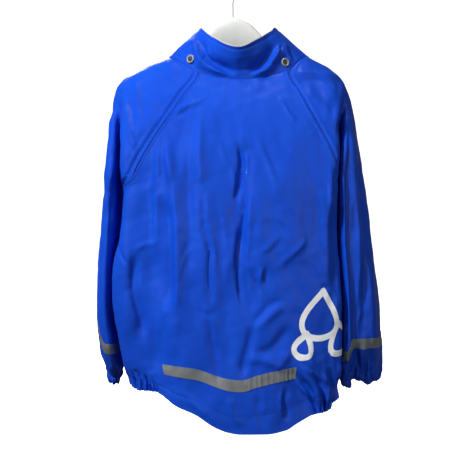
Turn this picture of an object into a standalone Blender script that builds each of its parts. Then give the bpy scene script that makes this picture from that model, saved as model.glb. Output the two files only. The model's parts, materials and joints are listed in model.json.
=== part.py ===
"""Child's raincoat of coated cloth on a plastic clothes hanger, with its snaps and reflective strips.

Sizes below are millimetres; the meshes are made in metres, +Z up. The origin is where the hook bears
on a rail. The coat's back faces -Y and the wearer's left is -X. A level is named by its drop, its
distance below the origin, and at each level the cloth follows one outline: across the back, out round
the arm and across the front.
"""

import math

import bmesh
import bpy
import numpy as np

MM = 0.001

# ---------------------------------------------------------------- driving sizes
WALL = 1.3  # coated cloth with its knitted backing
COLLAR_WALL = 1.9  # two layers of it
SEAM_GAP = 0.3  # between pieces that are sewn together
STRIP_WALL = 1.0  # reflective strip, stitched on
LAY_GAP = 0.4  # under a piece that lies on another
BACK, FRONT = -1, 1  # the two faces of the coat, as the sign of y
LEFT, RIGHT = -1, 1  # the wearer's sides, as the sign of x
CENTRE_X = 6.0  # the coat hangs this far to the right of the hook
MIDDLE_Y = 4.0  # the plane of the side seams
FRONT_SHARE = 0.88  # how full the front is beside the back
RAGLAN_TOP = 161.5  # drop of the neck end of the raglan seams
UNDERARM = {LEFT: 356.0, RIGHT: 349.0}
CROTCH = 30.0  # height over which the armhole rounds off at the underarm
SIDE_END = 612.0  # drop of the hem at the side seams
CUFF_END = {LEFT: 609.0, RIGHT: 621.0}
CUFF_TILT = {LEFT: 12.0, RIGHT: 4.0}  # the cuff hangs lower on the back by this much, and higher on the front
ARM_STRIP = {LEFT: (549.0, 564.0), RIGHT: (562.0, 577.0)}
ARM_STRIP_TILT = {LEFT: 9.0, RIGHT: 7.0}
# An upright pleat shortens the outer part of each sleeve: its place, and the rise beyond it at strip, cuff.
PLEAT = {
    LEFT: {"out": 193.0, "width": 6.0, "strip": 24.0, "cuff": 6.0},
    RIGHT: {"out": 168.0, "width": 7.0, "strip": 18.0, "cuff": 10.0},
}
NECK_SAG = {BACK: 13.0, FRONT: 36.0}
FRONT_HEM_SAG = 14.0
SEAM_RAISE = 0.7  # the felled raglan seam stands this proud
SEAM_WIDTH = 9.0


def table(columns, *rows):
    """Rows of numbers under named columns, as one array for each column."""
    return dict(zip(columns.split(), np.array(rows, float).T))


# How full the back is at its middle.
FULLNESS = table(
    "drop depth",
    (130, 29), (165, 37), (183, 44), (205, 53), (240, 63), (280, 70),
    (330, 76), (400, 81), (500, 85), (600, 89), (700, 92),
)

# The outline of each side, outward from x = 0 and backward from y = 0: the rim where the back turns in, the
# bottom of the cleft beside the arm, the arm's near ridge and its outer edge. Below the underarm the cleft is
# the side seam.
SIDES = {
    LEFT: table(
        "drop rim_out rim_back cleft_out cleft_back ridge_out ridge_back edge_out",
        (134, 94.6, 3.5, 95, 3, 95.5, 2, 96),
        (150, 115, 17, 126, 11, 133, 5, 136),
        (165, 141, 23, 152, 16, 159, 8, 162),
        (183, 155, 29, 165, 20, 172, 10, 176),
        (205, 162, 36, 168, 25, 177, 18, 181),
        (240, 164, 50, 167, 19, 177, 33, 184.5),
        (280, 162, 58, 165, 9, 178, 43, 187.5),
        (330, 159, 62, 162, 6, 180, 48, 193.5),
        (356, 157, 63, 160, 5, 181, 49, 195.5),
        (400, 162, 64, 160, -4, 184, 51, 199.5),
        (450, 172, 64, 165, -4, 188, 50, 203),
        (500, 173, 64, 166, -4, 189, 50, 205.5),
        (550, 164, 62, 157, -4, 184, 49, 204),
        (585, 158, 60, 148, -4, 178, 47, 198.5),
        (612, 150, 54, 140, -4, 174, 45, 197),
    ),
    RIGHT: table(
        "drop rim_out rim_back cleft_out cleft_back ridge_out ridge_back edge_out",
        (132, 106.6, 3.5, 107, 3, 107.5, 2, 108),
        (150, 124, 17, 133, 11, 139, 5, 141.5),
        (165, 139, 23, 149, 16, 156, 8, 160),
        (183, 149, 29, 158, 20, 166, 10, 170.5),
        (205, 151, 38, 157, 25, 167, 20, 175.5),
        (240, 150, 50, 154, 19, 165, 37, 182),
        (280, 149, 58, 151, 9, 162, 48, 188.5),
        (330, 147, 62, 149, 6, 160, 53, 197),
        (349, 146, 62, 148, 5, 160, 54, 199.5),
        (400, 146, 62, 145, -4, 160, 54, 206),
        (450, 150, 62, 147, -4, 163, 53, 212.5),
        (500, 153, 61, 148, -4, 166, 52, 218.5),
        (550, 154, 60, 146, -4, 167, 51, 222),
        (585, 152, 58, 139, -4, 163, 49, 225),
        (612, 147, 54, 132, -4, 158, 46, 224),
    ),
}

# The arm's inner wall below the underarm and its far ridge on the front.
ARMS = {
    LEFT: table(
        "drop inner_out far_out far_front",
        (134, 90, 95.5, 9.3), (150, 120, 133, 12), (165, 145, 159, 14.5), (183, 165, 172, 16.5),
        (240, 168, 177, 36),
        (300, 165, 179, 60), (356, 161.5, 180, 74),
        (400, 164, 183, 76), (450, 170, 186, 72), (500, 172, 188, 66),
        (550, 166, 186, 58), (612, 160, 180, 34),
    ),
    RIGHT: table(
        "drop inner_out far_out far_front",
        (132, 102, 107.5, 9.3), (150, 128, 139, 12), (165, 145, 156, 14.5), (183, 158, 166, 16.5),
        (240, 155, 168, 36),
        (300, 152, 174, 58), (349, 149.5, 180, 70),
        (400, 150, 188, 70), (450, 152, 194, 66), (500, 157, 198, 60),
        (550, 158, 201, 54), (612, 154, 196, 40),
    ),
}

# Where the neck seam and then the raglan seam cross each level, outward from x = 0.
SEAMS = {
    LEFT: table(
        "drop out",
        (134, 95), (141, 84), (151, 70), (161.5, 58.5), (191, 77), (227, 100),
        (259, 121), (286, 137.5), (312, 150), (328, 156), (356, 160),
    ),
    RIGHT: table(
        "drop out",
        (132, 107), (140, 97), (150, 88), (161.5, 81), (191, 96),
        (224, 113), (256, 130), (281, 142), (300, 147), (349, 150),
    ),
}
# Drops over which the raglan seam turns round the rim into the cleft.
SEAM_TURN = {LEFT: (316.0, 349.0), RIGHT: (290.0, 341.0)}

# The back's lower rows: the strip's top and bottom edges and the dropped hem. "across" is measured round
# the cloth from x = 0.
STRIP_TOP = table(
    "across drop",
    (-230, 560), (-160, 571), (-106, 583), (-62, 587), (-12, 602), (7, 603.5),
    (30, 597), (62, 590), (90, 586), (150, 572), (215, 560),
)
STRIP_LOW = table(
    "across drop",
    (-230, 575), (-160, 585), (-106, 597), (-62, 602), (-12, 617), (7, 619),
    (30, 612.5), (62, 605), (90, 601), (150, 588), (215, 578),
)
HEM = table(
    "across drop",
    (-230, 612), (-160, 615), (-140, 622), (-118, 622.5), (-108, 625), (-95, 633), (-85, 640),
    (-53, 653), (-25, 670), (-7, 676.5), (11, 679), (43, 679), (71, 675), (93, 664),
    (114, 655), (137, 652), (147, 642), (160, 631), (180, 628), (215, 625),
)
STRIP_ENDS = (-106.0, 88.0)
STRIP_LEVELS = (566.0, 582.0)  # names of the rows at the strip's edges

# Large folds. A ridge (+) or trough (-) runs from one end to the other, in x and drop on the body's faces.
BACK_FOLDS = table(
    "x0 drop0 x1 drop1 width height",
    (-100, 262, -86, 372, 9, 3.6),
    (-122, 300, -112, 470, 15, -5.5),
    (-84, 360, -84, 560, 13, 4.0),
    (-118, 430, -110, 600, 20, -6.5),
    (-150, 400, -146, 540, 13, 4.0),
    (-50, 230, -38, 470, 16, 3.2),
    (14, 280, 2, 390, 7, -4.2),
    (8, 385, 24, 520, 9, -4.6),
    (30, 300, 44, 470, 16, 2.6),
    (-20, 420, -8, 590, 12, -3.0),
    (66, 290, 84, 430, 22, 2.4),
    (128, 300, 132, 470, 9, 2.8),
    (98, 560, 132, 636, 8, 4.0),
    (80, 590, 108, 650, 8, -3.0),
    (-62, 560, -70, 640, 14, 2.5),
)
FRONT_FOLDS = table(
    "x0 drop0 x1 drop1 width height",
    (-104, 270, -92, 400, 12, 4.0),
    (-74, 330, -70, 560, 16, -5.0),
    (-128, 380, -124, 580, 14, 4.5),
    (96, 260, 88, 420, 11, 4.0),
    (70, 340, 76, 570, 17, -5.0),
    (118, 390, 122, 570, 13, 4.0),
)
# On an arm, x is the share of the way round from its inner seam by the back, from 0 to 1.
ARM_FOLDS = {
    LEFT: table(
        "x0 drop0 x1 drop1 width height",
        (0.36, 215, 0.36, 560, 7, 2.2),
        (0.30, 380, 0.33, 590, 7, -2.2),
        (0.58, 260, 0.62, 560, 12, -3.5),
        (0.72, 300, 0.70, 590, 10, 3.0),
    ),
    RIGHT: table(
        "x0 drop0 x1 drop1 width height",
        (0.22, 240, 0.24, 560, 6, 2.2),
        (0.31, 260, 0.33, 590, 8, -4.0),
        (0.40, 380, 0.42, 590, 7, 2.8),
        (0.60, 300, 0.62, 580, 12, -3.5),
    ),
}
# Short gathers where elastic draws the hem and cuffs in.
HEM_GATHER = {"height": 24.0, "pitch": 5.8, "size": 1.7}
GATHER_REACH = {BACK: 116.0, FRONT: 46.0}  # how far the hem's gathers go from each side seam
CUFF_GATHER = {"height": 20.0, "count": 26, "size": 1.5}
CUFF_SHRINK = (0.92, 0.62)  # across x and across y

# Collar: its free edge, going round from the middle of the front by the wearer's left.
COLLAR_EDGE = table(
    "turn x y drop",
    (0.00, 6, 50, 138),
    (0.13, -28, 42, 120),
    (0.25, -51, 4, 89),
    (0.37, -30, -38, 113),
    (0.50, 5, -56, 130),
    (0.63, 40, -42, 113),
    (0.75, 63, 4, 90),
    (0.87, 42, 40, 120),
    (1.00, 6, 50, 138),
)
COLLAR_BULGE = 0.5  # how far the collar's walls swell half way up

# Front closure.
FLAP_WIDTH = 42.0
FLAP_END = 8.0  # the storm flap stops this far above the hem
SNAP_PLACES = (
    ("collar", 0.5),
    ("front", 210),
    ("front", 286),
    ("front", 365),
    ("front", 445),
    ("front", 524),
    ("front", 592),
)
SNAP_LIFT = 0.6  # the prong ring under a cap's rim
SNAP_PROFILE = ((0, 0), (6.0, 0), (6.0, 1.0), (5.0, 1.9), (0, 2.2))  # radius and height

# The two sockets on the back of the collar that hold a hood: turn and height on the collar.
HOOD_SNAP_PLACES = {LEFT: (0.344, 0.2), RIGHT: (0.648, 0.22)}
HOOD_SNAP_PROFILE = ((0, 0), (6.4, 0), (6.4, 0.7), (5.7, 1.5), (3.3, 1.5), (2.7, 0.6), (0, 0.6))

# Hanger.
DOME_RADIUS = 36.0
DOME_TOP = 75.0  # drop of the dome's top
DOME_HALF_THICKNESS = 7.0
ARM_END = {LEFT: 163.0, RIGHT: 159.0}
ARM_HEIGHT = 22.0
HOOK_WIRE = 2.0
HOOK_RADIUS = 20.0  # inside radius


# ---------------------------------------------------------------- curves
def follow(at, known, values):
    """Monotone cubic through values at the rising numbers known. Values may be rows of an array."""
    at = np.clip(np.asarray(at, float), known[0], known[-1])
    values = np.asarray(values, float)
    flat = values.reshape(len(known), -1)
    step = np.diff(known)[:, None]
    rise = np.diff(flat, axis=0) / step
    slope = np.zeros_like(flat)
    same = rise[1:] * rise[:-1] > 0
    total = np.where(same, rise[1:] + rise[:-1], 1.0)
    slope[1:-1] = np.where(same, 2 * rise[1:] * rise[:-1] / total, 0.0)
    slope[0], slope[-1] = rise[0], rise[-1]
    i = np.clip(np.searchsorted(known, at, side="right") - 1, 0, len(known) - 2)
    t = ((at - known[i]) / np.diff(known)[i])[..., None]
    left, right = flat[i], flat[i + 1]
    span = step[i]
    result = (
        left * (1 + 2 * t) * (1 - t) ** 2
        + right * t * t * (3 - 2 * t)
        + slope[i] * span * t * (1 - t) ** 2
        - slope[i + 1] * span * t * t * (1 - t)
    )
    return result.reshape(at.shape + values.shape[1:])


def column(rows, name, at, key="drop"):
    return follow(at, rows[key], rows[name])


def ease(x):
    x = np.clip(x, 0.0, 1.0)
    return x * x * (3 - 2 * x)


def spline(points, steps, closed=False):
    """Catmull-Rom curve through points, with that many steps for each stretch."""
    p = np.asarray(points, float)
    if closed:
        before, after, stretch = np.roll(p, 1, 0), np.roll(p, -1, 0), len(p)
    else:
        before = np.vstack([2 * p[0] - p[1], p[:-1]])
        after = np.vstack([p[1:], 2 * p[-1] - p[-2]])
        stretch = len(p) - 1
    gap_before = np.linalg.norm(p - before, axis=1)[:, None] + 1e-9
    gap_after = np.linalg.norm(after - p, axis=1)[:, None] + 1e-9
    slope = (p - before) / gap_before * gap_after + (after - p) / gap_after * gap_before
    slope /= gap_before + gap_after
    t = (np.arange(steps) / steps)[:, None]
    out = []
    for i in range(stretch):
        j = (i + 1) % len(p)
        size = gap_after[i]
        out.append(
            p[i] * (1 + 2 * t) * (1 - t) ** 2
            + p[j] * t * t * (3 - 2 * t)
            + slope[i] * size * t * (1 - t) ** 2
            - slope[j] * size * t * t * (1 - t)
        )
    out.append(p[:1] if closed else p[-1:])
    return np.vstack(out)


def lengths(line):
    return np.concatenate([[0.0], np.cumsum(np.linalg.norm(np.diff(line, axis=0), axis=1))])


def pick(line, along, at):
    return np.stack([np.interp(at, along, line[:, k]) for k in range(line.shape[1])], axis=1)


def fold_height(folds, x, drop, scale=1.0):
    """Height of all the ridges and troughs at each place. Scale turns x into millimetres."""
    total = np.zeros(np.broadcast(x, drop).shape)
    for x0, d0, x1, d1, width, height in zip(*folds.values()):
        along = np.clip((drop - d0) / (d1 - d0), -0.25, 1.25)
        line = x0 + (x1 - x0) * along
        across = (x - line) * scale / width
        ends = ease((along + 0.12) / 0.3) * ease((1.12 - along) / 0.3)
        total = total + height * ends * np.exp(-(across**2))
    return total


# ---------------------------------------------------------------- the coat's outline at one level
STEPS = 10  # of the spline between two points of an outline
LOBE_WIDTH = 5.0  # half the width of an arm's ridge near its top
TO_EDGE = 6 * STEPS  # from the cleft to the arm's outer edge
BACK_SHARES = (0.0, 0.3, 0.58, 0.82)  # points across the back, as shares of the way to the rim


class Level:
    """The outline of one side at one drop, from the middle of the back to the middle of the front."""

    def __init__(self, side, drop):
        self.side, self.drop = side, drop
        row = SIDES[side]
        get = lambda name: float(column(row, name, drop))
        arm = lambda name: float(column(ARMS[side], name, drop))
        self.split = drop >= UNDERARM[side]
        depth = float(column(FULLNESS, "depth", drop))
        rim = np.array([get("rim_out"), get("rim_back")])
        cleft = np.array([get("cleft_out"), get("cleft_back")])
        if self.split:
            cleft[1] = -MIDDLE_Y
        else:
            rounding = math.sqrt(np.clip((UNDERARM[side] - drop) / CROTCH, 0.0, 1.0))
            cleft[1] = -MIDDLE_Y + (cleft[1] + MIDDLE_Y) * rounding
        ridge = np.array([get("ridge_out"), get("ridge_back")])
        edge = get("edge_out")
        wall_in = np.array([0.5 * (rim[0] + cleft[0]) + 0.8, 0.5 * (rim[1] + cleft[1])])
        inner = arm("inner_out")
        wall_out = np.array([0.45 * ridge[0] + 0.55 * max(inner, cleft[0]), 0.5 * (ridge[1] + cleft[1])])
        shoulder = np.array([0.35 * ridge[0] + 0.65 * edge, 0.62 * ridge[1]])
        middle_out = CENTRE_X * side
        across = []
        for share in BACK_SHARES:
            out = middle_out + (rim[0] - middle_out) * share
            across.append([out, rim[1] + (depth - rim[1]) * (1 - share**2.4)])
        self.body_back = np.array([*across, rim, wall_in])
        self.arm_back = self.lobe(wall_out, ridge, shoulder, ridge[1] - cleft[1])
        self.cleft = cleft
        self.edge = np.array([edge, -MIDDLE_Y])
        self.inner = np.array([inner, -MIDDLE_Y])
        far = np.array([arm("far_out"), -arm("far_front")])
        far_cleft = self.mirror(cleft)
        shoulder = np.array([0.35 * far[0] + 0.65 * edge, 0.62 * far[1] - 0.38 * MIDDLE_Y])
        wall_out = np.array([0.45 * far[0] + 0.55 * max(inner, cleft[0]), 0.5 * (far[1] + far_cleft[1])])
        self.arm_front = self.lobe(wall_out, far, shoulder, far_cleft[1] - far[1])[::-1]
        self.lines()

    @staticmethod
    def lobe(wall_out, ridge, shoulder, depth):
        """Points over a ridge of the arm from the cleft's wall to the outside, rounded where it stands up."""
        width = min(0.36 * (shoulder[0] - wall_out[0]), LOBE_WIDTH)
        round_off = 0.5 * width * np.sign(ridge[1])
        share = float(ease(depth / 12))
        points = [wall_out]
        for flank, way in ((wall_out, -1), (shoulder, 1)):
            straight = 0.4 * flank + 0.6 * ridge
            rounded = ridge + np.array([way * width, -round_off])
            points.append(straight * (1 - share) + rounded * share)
        return np.array([points[0], points[1], ridge, points[2], shoulder])

    @staticmethod
    def mirror(points):
        """The front's points from the back's."""
        points = np.array(points, float)
        points[..., 1] = -MIDDLE_Y - FRONT_SHARE * (points[..., 1] + MIDDLE_Y)
        return points

    def placed(self, line):
        """From outward and backward to x and y."""
        return np.stack([line[:, 0] * self.side, -line[:, 1]], axis=1)

    def lines(self):
        front = self.mirror(self.body_back[::-1])
        if self.split:
            body = spline([*self.body_back, self.cleft, *front], STEPS)
            arm = spline([self.inner, *self.arm_back, self.edge, *self.arm_front], STEPS, closed=True)
            self.body, self.arm = self.placed(body), self.placed(arm)
            self.cleft_index = len(self.body_back) * STEPS
            self.shape(self.body, np.arange(len(body)) <= self.cleft_index, None)
            self.shape(self.arm, None, np.linspace(0, 1, len(arm)))
        else:
            points = [*self.body_back, self.cleft, *self.arm_back, self.edge, *self.arm_front]
            points += [self.mirror(self.cleft), *front]
            self.body = self.placed(spline(points, STEPS))
            self.arm = None
            start = self.cleft_index = len(self.body_back) * STEPS
            stop = self.front_cleft_index = start + 2 * TO_EDGE
            turn = np.clip((np.arange(len(self.body)) - start) / (stop - start), 0, 1)
            self.shape(self.body, np.arange(len(self.body)) <= (start + stop) / 2, turn)
        self.along = lengths(self.body)
        if self.arm is not None:
            self.arm_along = lengths(self.arm)

    def shape(self, line, on_back, turn):
        """Raises the large folds on an outline, in place."""
        step = np.gradient(line, axis=0)
        normal = np.stack([step[:, 1], -step[:, 0]], axis=1) * self.side
        normal /= np.linalg.norm(normal, axis=1)[:, None] + 1e-12
        height = np.zeros(len(line))
        if on_back is not None:
            x = line[:, 0]
            rim = abs(self.body_back[4][0]) - 4
            inside = ease((rim + 6 - np.abs(x)) / 12)
            index = np.arange(len(line))
            last = len(line) - 1 - self.cleft_index
            body = ease((self.cleft_index - 8 - index) / 6) + ease((index - last - 8) / 6)
            back = fold_height(BACK_FOLDS, x, self.drop)
            front = fold_height(FRONT_FOLDS, x, self.drop)
            height += np.where(on_back, back, front) * inside * body
        if turn is not None:
            on_arm = ease(turn * 12) * ease((1 - turn) * 12)
            height += fold_height(ARM_FOLDS[self.side], turn, self.drop, scale=270.0) * on_arm
        line += normal * height[:, None]

    # Places along the outline, as lengths from the middle of the back.
    def cleft_at(self, face):
        if face == BACK or self.split:
            return self.along[self.cleft_index]
        return self.along[self.front_cleft_index]

    def seam_at(self, face):
        """Where the neck, raglan or side seam crosses this level."""
        if self.split:
            return self.along[self.cleft_index]
        out = float(column(SEAMS[self.side], "out", self.drop))
        stop = 4 * STEPS + 1
        outward = np.abs(self.body[:, 0])
        if face == BACK:
            out = min(out, outward[stop - 1] - 0.5)
            at = np.interp(out, outward[:stop], self.along[:stop])
        else:
            first = len(self.body) - stop
            out = min(out, outward[first] - 0.5)
            at = np.interp(-out, -outward[first:], self.along[first:])
        start, stop = SEAM_TURN[self.side]
        turn = ease((self.drop - start) / (stop - start))
        return at + (self.cleft_at(face) - at) * turn


LEVELS = {}


def level(side, drop):
    key = (side, round(float(drop), 4))
    if key not in LEVELS:
        LEVELS[key] = Level(side, float(drop))
    return LEVELS[key]


# ---------------------------------------------------------------- the coat's cloth
SEAM_ROWS = (
    RAGLAN_TOP, 176, 194, 212, 228, 246, 264, 284, 294, 301,
    308, 316, 322, 327, 333, 339, 344, 349, 356,
)
NEAR_UNDERARM = np.append(np.arange(-32, 0, 1.5), (-0.01, 0))
DROPS = [np.arange(130, 706, 4.0), SEAM_ROWS, *(NEAR_UNDERARM + end for end in UNDERARM.values())]
DROPS = np.unique(np.concatenate(DROPS))
EXTRA = 0.03  # the cloth is also worked out this far past each seam, for its slope there
SHARES = np.linspace(-EXTRA, 1 + EXTRA, 407)


def body_line(face, drop, shares):
    """x, y and the distance across at shares of the way between side seams, left to right from outside."""
    left, right = level(LEFT, drop), level(RIGHT, drop)
    if face == BACK:
        start, stop = -left.seam_at(BACK), right.seam_at(BACK)
        line = np.vstack([left.body[::-1], right.body[1:]])
        along = np.concatenate([-left.along[::-1], right.along[1:]])
    else:
        start = right.seam_at(FRONT) - right.along[-1]
        stop = left.along[-1] - left.seam_at(FRONT)
        line = np.vstack([right.body, left.body[::-1][1:]])
        along = np.concatenate([right.along - right.along[-1], (left.along[-1] - left.along)[::-1][1:]])
    at = start + (stop - start) * shares
    return np.column_stack([pick(line, along, at), at])


def arm_line(side, drop, shares):
    """The same round a sleeve, from one of its seams to the other."""
    here = level(side, drop)
    shares = shares if side == RIGHT else 1 - shares
    if here.split:
        whole = here.arm_along[-1]
        at = whole * shares
        return np.column_stack([pick(here.arm, here.arm_along, at % whole), at])
    at = here.seam_at(BACK) + (here.seam_at(FRONT) - here.seam_at(BACK)) * shares
    return np.column_stack([pick(here.body, here.along, at), at])


class Cloth:
    """One piece of the coat, worked out on a fine grid of levels and shares of its width."""

    def __init__(self, line, drop_of, gathers=None):
        self.grid = np.array([line(drop, SHARES) for drop in DROPS])
        self.widths = (self.grid[:, -1, 2] - self.grid[:, 0, 2]) / (1 + 2 * EXTRA)
        self.drop_of, self.gathers = drop_of, gathers

    def ends(self, row):
        """Distances across at the two seams."""
        return self.read(np.array([0.0, 1.0]), np.full(2, float(row)))[:, 2]

    def share(self, row, places):
        """Shares of the width for distances across."""
        first, last = self.ends(row)
        return (np.asarray(places, float) - first) / (last - first)

    def read(self, shares, drops):
        i = (shares + EXTRA) / (1 + 2 * EXTRA) * (len(SHARES) - 1)
        i = np.clip(i, 0, len(SHARES) - 1.001)
        j = np.clip(np.interp(drops, DROPS, np.arange(len(DROPS))), 0, len(DROPS) - 1.001)
        i0, j0 = i.astype(int), j.astype(int)
        fi, fj = (i - i0)[..., None], (j - j0)[..., None]
        upper = self.grid[j0, i0] * (1 - fi) + self.grid[j0, i0 + 1] * fi
        lower = self.grid[j0 + 1, i0] * (1 - fi) + self.grid[j0 + 1, i0 + 1] * fi
        return upper * (1 - fj) + lower * fj

    def smooth(self, shares, row):
        """Points and distances across, with no gathers."""
        shares, row = np.broadcast_arrays(np.asarray(shares, float), np.asarray(row, float))
        nominal = self.read(shares, row)
        drops = self.drop_of(nominal, row)
        here = self.read(shares, drops)
        points = np.stack([here[..., 0], here[..., 1], -drops], axis=-1)
        return points, nominal[..., 2]

    def normal(self, shares, row):
        shares, row = np.broadcast_arrays(np.asarray(shares, float), np.asarray(row, float))
        step = 1.2 / np.abs(np.interp(row, DROPS, self.widths))
        across = self.shaped(shares + step, row) - self.shaped(shares - step, row)
        down = self.shaped(shares, row + 1.5) - self.shaped(shares, row - 1.5)
        n = np.cross(down, across)
        return n / np.linalg.norm(n, axis=-1)[..., None]

    def shaped(self, shares, row):
        return self.smooth(shares, row)[0]

    def surface(self, shares, row, lift=0.0):
        """Points on the outside, with gathers, and moved out by lift, and the outward directions."""
        n = self.normal(shares, row)
        points = self.shaped(shares, row)
        if self.gathers is not None:
            lift = lift + self.gathers(self, shares, row)
        return points + n * (np.zeros(n.shape[:-1]) + lift)[..., None], n


def neck_sag(face, x, power):
    """The drop of a face's neck seam."""
    reach = {side: SEAMS[side]["out"][list(SEAMS[side]["drop"]).index(RAGLAN_TOP)] for side in (LEFT, RIGHT)}
    width = np.where(x < CENTRE_X, reach[LEFT] + CENTRE_X, reach[RIGHT] - CENTRE_X)
    return RAGLAN_TOP + NECK_SAG[face] * np.cos(np.clip((x - CENTRE_X) / width, -1, 1) * math.pi / 2) ** power


def back_drop(here, row):
    """The real drop of a row across the back."""
    across = here[..., 2] + CENTRE_X
    sag = neck_sag(BACK, here[..., 0], 1.3)
    keys = [RAGLAN_TOP, 270.0, 440.0, *STRIP_LEVELS, SIDE_END]
    drops = [sag, 270.0, 440.0]
    drops += [follow(across, edge["across"], edge["drop"]) for edge in (STRIP_TOP, STRIP_LOW, HEM)]
    return between(row, keys, drops)


def front_drop(here, row):
    x = here[..., 0]
    neck = neck_sag(FRONT, x, 1.2)
    sag = np.cos(np.clip((x - CENTRE_X) / 150, -1, 1) * math.pi / 2)
    hem = SIDE_END + 13 * ease(x / 40 + 0.5) + FRONT_HEM_SAG * sag
    return between(row, [RAGLAN_TOP, 290.0, 480.0, SIDE_END], [neck, 290.0, 480.0, hem])


def arm_drop(side):
    top, low = ARM_STRIP[side]
    end, pleat = CUFF_END[side], PLEAT[side]

    def drop_of(here, row):
        near = np.clip((MIDDLE_Y + 8 - here[..., 1]) / 32.0, -1, 1)
        beyond = ease((side * here[..., 0] - pleat["out"]) / pleat["width"] + 0.5)
        move = near * ARM_STRIP_TILT[side] - beyond * pleat["strip"]
        cuff = end + near * CUFF_TILT[side] - beyond * pleat["cuff"]
        return between(row, [100.0, 440.0, top, low, end], [100.0, 440.0, top + move, low + move, cuff])

    return drop_of


def between(row, keys, drops):
    """Real drops for a row, whose name is a number among keys, from the real drops at those keys."""
    total = np.zeros(np.shape(row))
    last = len(keys) - 2
    for k in range(last + 1):
        share = (row - keys[k]) / (keys[k + 1] - keys[k])
        here = ((share >= 0) | (k == 0)) & ((share < 1) | (k == last))
        total = np.where(here, drops[k] + (drops[k + 1] - drops[k]) * share, total)
    return total


class Sleeve(Cloth):
    """A sleeve, drawn in by elastic at the cuff and with its felled seams standing proud."""

    def __init__(self, side):
        super().__init__(lambda drop, shares: arm_line(side, drop, shares), arm_drop(side), cuff_gathers)
        self.side, self.end = side, CUFF_END[side]

    def shaped(self, shares, row):
        points = self.smooth(shares, row)[0]
        low = level(self.side, 600.0)
        middle = np.array([0.5 * (low.inner[0] + low.edge[0]) * self.side, 0.5 * (points_y(low)), 0.0])
        pull = ease((np.broadcast_to(row, points.shape[:-1]) - (self.end - 62)) / 50)[..., None]
        shrink = np.array([CUFF_SHRINK[0], CUFF_SHRINK[1], 1.0])
        offset = (points - middle) * (1 - (1 - shrink) * pull)
        return np.concatenate([(middle + offset)[..., :2], points[..., 2:]], axis=-1)


def points_y(here):
    return here.arm[:, 1].min() + here.arm[:, 1].max()


def cuff_gathers(cloth, shares, row):
    wave = ease((row - (cloth.end - CUFF_GATHER["height"])) / 12)
    return CUFF_GATHER["size"] * wave * np.cos(2 * math.pi * CUFF_GATHER["count"] * np.asarray(shares))


def hem_gathers(face):
    def height(cloth, shares, row):
        at = cloth.smooth(shares, row)[1]
        ends = [cloth.smooth(end, SIDE_END)[1] for end in (0.0, 1.0)]
        from_seam = np.minimum(at - ends[0], ends[1] - at)
        fade = ease((GATHER_REACH[face] - from_seam) / 14) * ease(from_seam / 3)
        wave = ease((row - (SIDE_END - HEM_GATHER["height"])) / 14)
        return HEM_GATHER["size"] * wave * fade * np.cos(2 * math.pi * from_seam / HEM_GATHER["pitch"])

    return height


# ---------------------------------------------------------------- solids
def clear_scene():
    for obj in list(bpy.data.objects):
        bpy.data.objects.remove(obj)


def material(name, colour, roughness, metallic=0.0):
    made = bpy.data.materials.new(name)
    made.use_nodes = True
    shader = made.node_tree.nodes["Principled BSDF"]
    shader.inputs["Base Color"].default_value = (*colour, 1.0)
    shader.inputs["Roughness"].default_value = roughness
    shader.inputs["Metallic"].default_value = metallic
    return made


def add_object(name, points, faces, finish):
    mesh = bpy.data.meshes.new(name)
    mesh.from_pydata((np.asarray(points) * MM).tolist(), [], [list(map(int, f)) for f in faces])
    work = bmesh.new()
    work.from_mesh(mesh)
    bmesh.ops.triangulate(work, faces=work.faces[:])
    work.to_mesh(mesh)
    work.free()
    mesh.materials.append(finish)
    mesh.shade_smooth()
    mesh.set_sharp_from_angle(angle=math.radians(40))
    obj = bpy.data.objects.new(name, mesh)
    bpy.context.scene.collection.objects.link(obj)
    return obj


def join_rows(upper, lower):
    """Triangles between two rows of (index, share) points, whichever row has more of them."""
    faces, i, j = [], 0, 0
    while i < len(upper) - 1 or j < len(lower) - 1:
        if j == len(lower) - 1:
            on_upper = True
        elif i == len(upper) - 1:
            on_upper = False
        else:
            on_upper = upper[i + 1][1] + upper[i][1] <= lower[j + 1][1] + lower[j][1]
        if on_upper:
            faces.append((upper[i][0], lower[j][0], upper[i + 1][0]))
            i += 1
        else:
            faces.append((upper[i][0], lower[j][0], lower[j + 1][0]))
            j += 1
    return faces


def wall(name, rows, thickness, finish):
    """A closed wall. Each row is (outer points, outward directions, shares, is_loop), left to right from
    outside, and the rows run down. A loop's last point is its first."""
    points, outer, inner, base = [], [], [], 0
    for line, out, shares, loop in rows:
        count = len(line) - 1 if loop else len(line)
        for store, offset in ((outer, 0.0), (inner, thickness)):
            points.append((line - out * offset)[:count])
            index = list(range(base, base + count)) + ([base] if loop else [])
            store.append(list(zip(index, shares)))
            base += count
    faces = []
    for above, below in zip(outer, outer[1:]):
        faces += join_rows(above, below)
    for above, below in zip(inner, inner[1:]):
        faces += [f[::-1] for f in join_rows(above, below)]
    for out_row, in_row, turn in ((outer[0], inner[0], -1), (outer[-1], inner[-1], 1)):
        for k in range(len(out_row) - 1):
            quad = (out_row[k][0], in_row[k][0], in_row[k + 1][0], out_row[k + 1][0])
            faces.append(quad[::turn])
    for r in range(len(rows) - 1):
        if rows[r][3] and rows[r + 1][3]:
            continue
        for end, turn in ((0, 1), (-1, -1)):
            quad = (outer[r][end][0], inner[r][end][0], inner[r + 1][end][0], outer[r + 1][end][0])
            faces.append(quad[::turn])
    return add_object(name, np.vstack(points), faces, finish)


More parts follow.
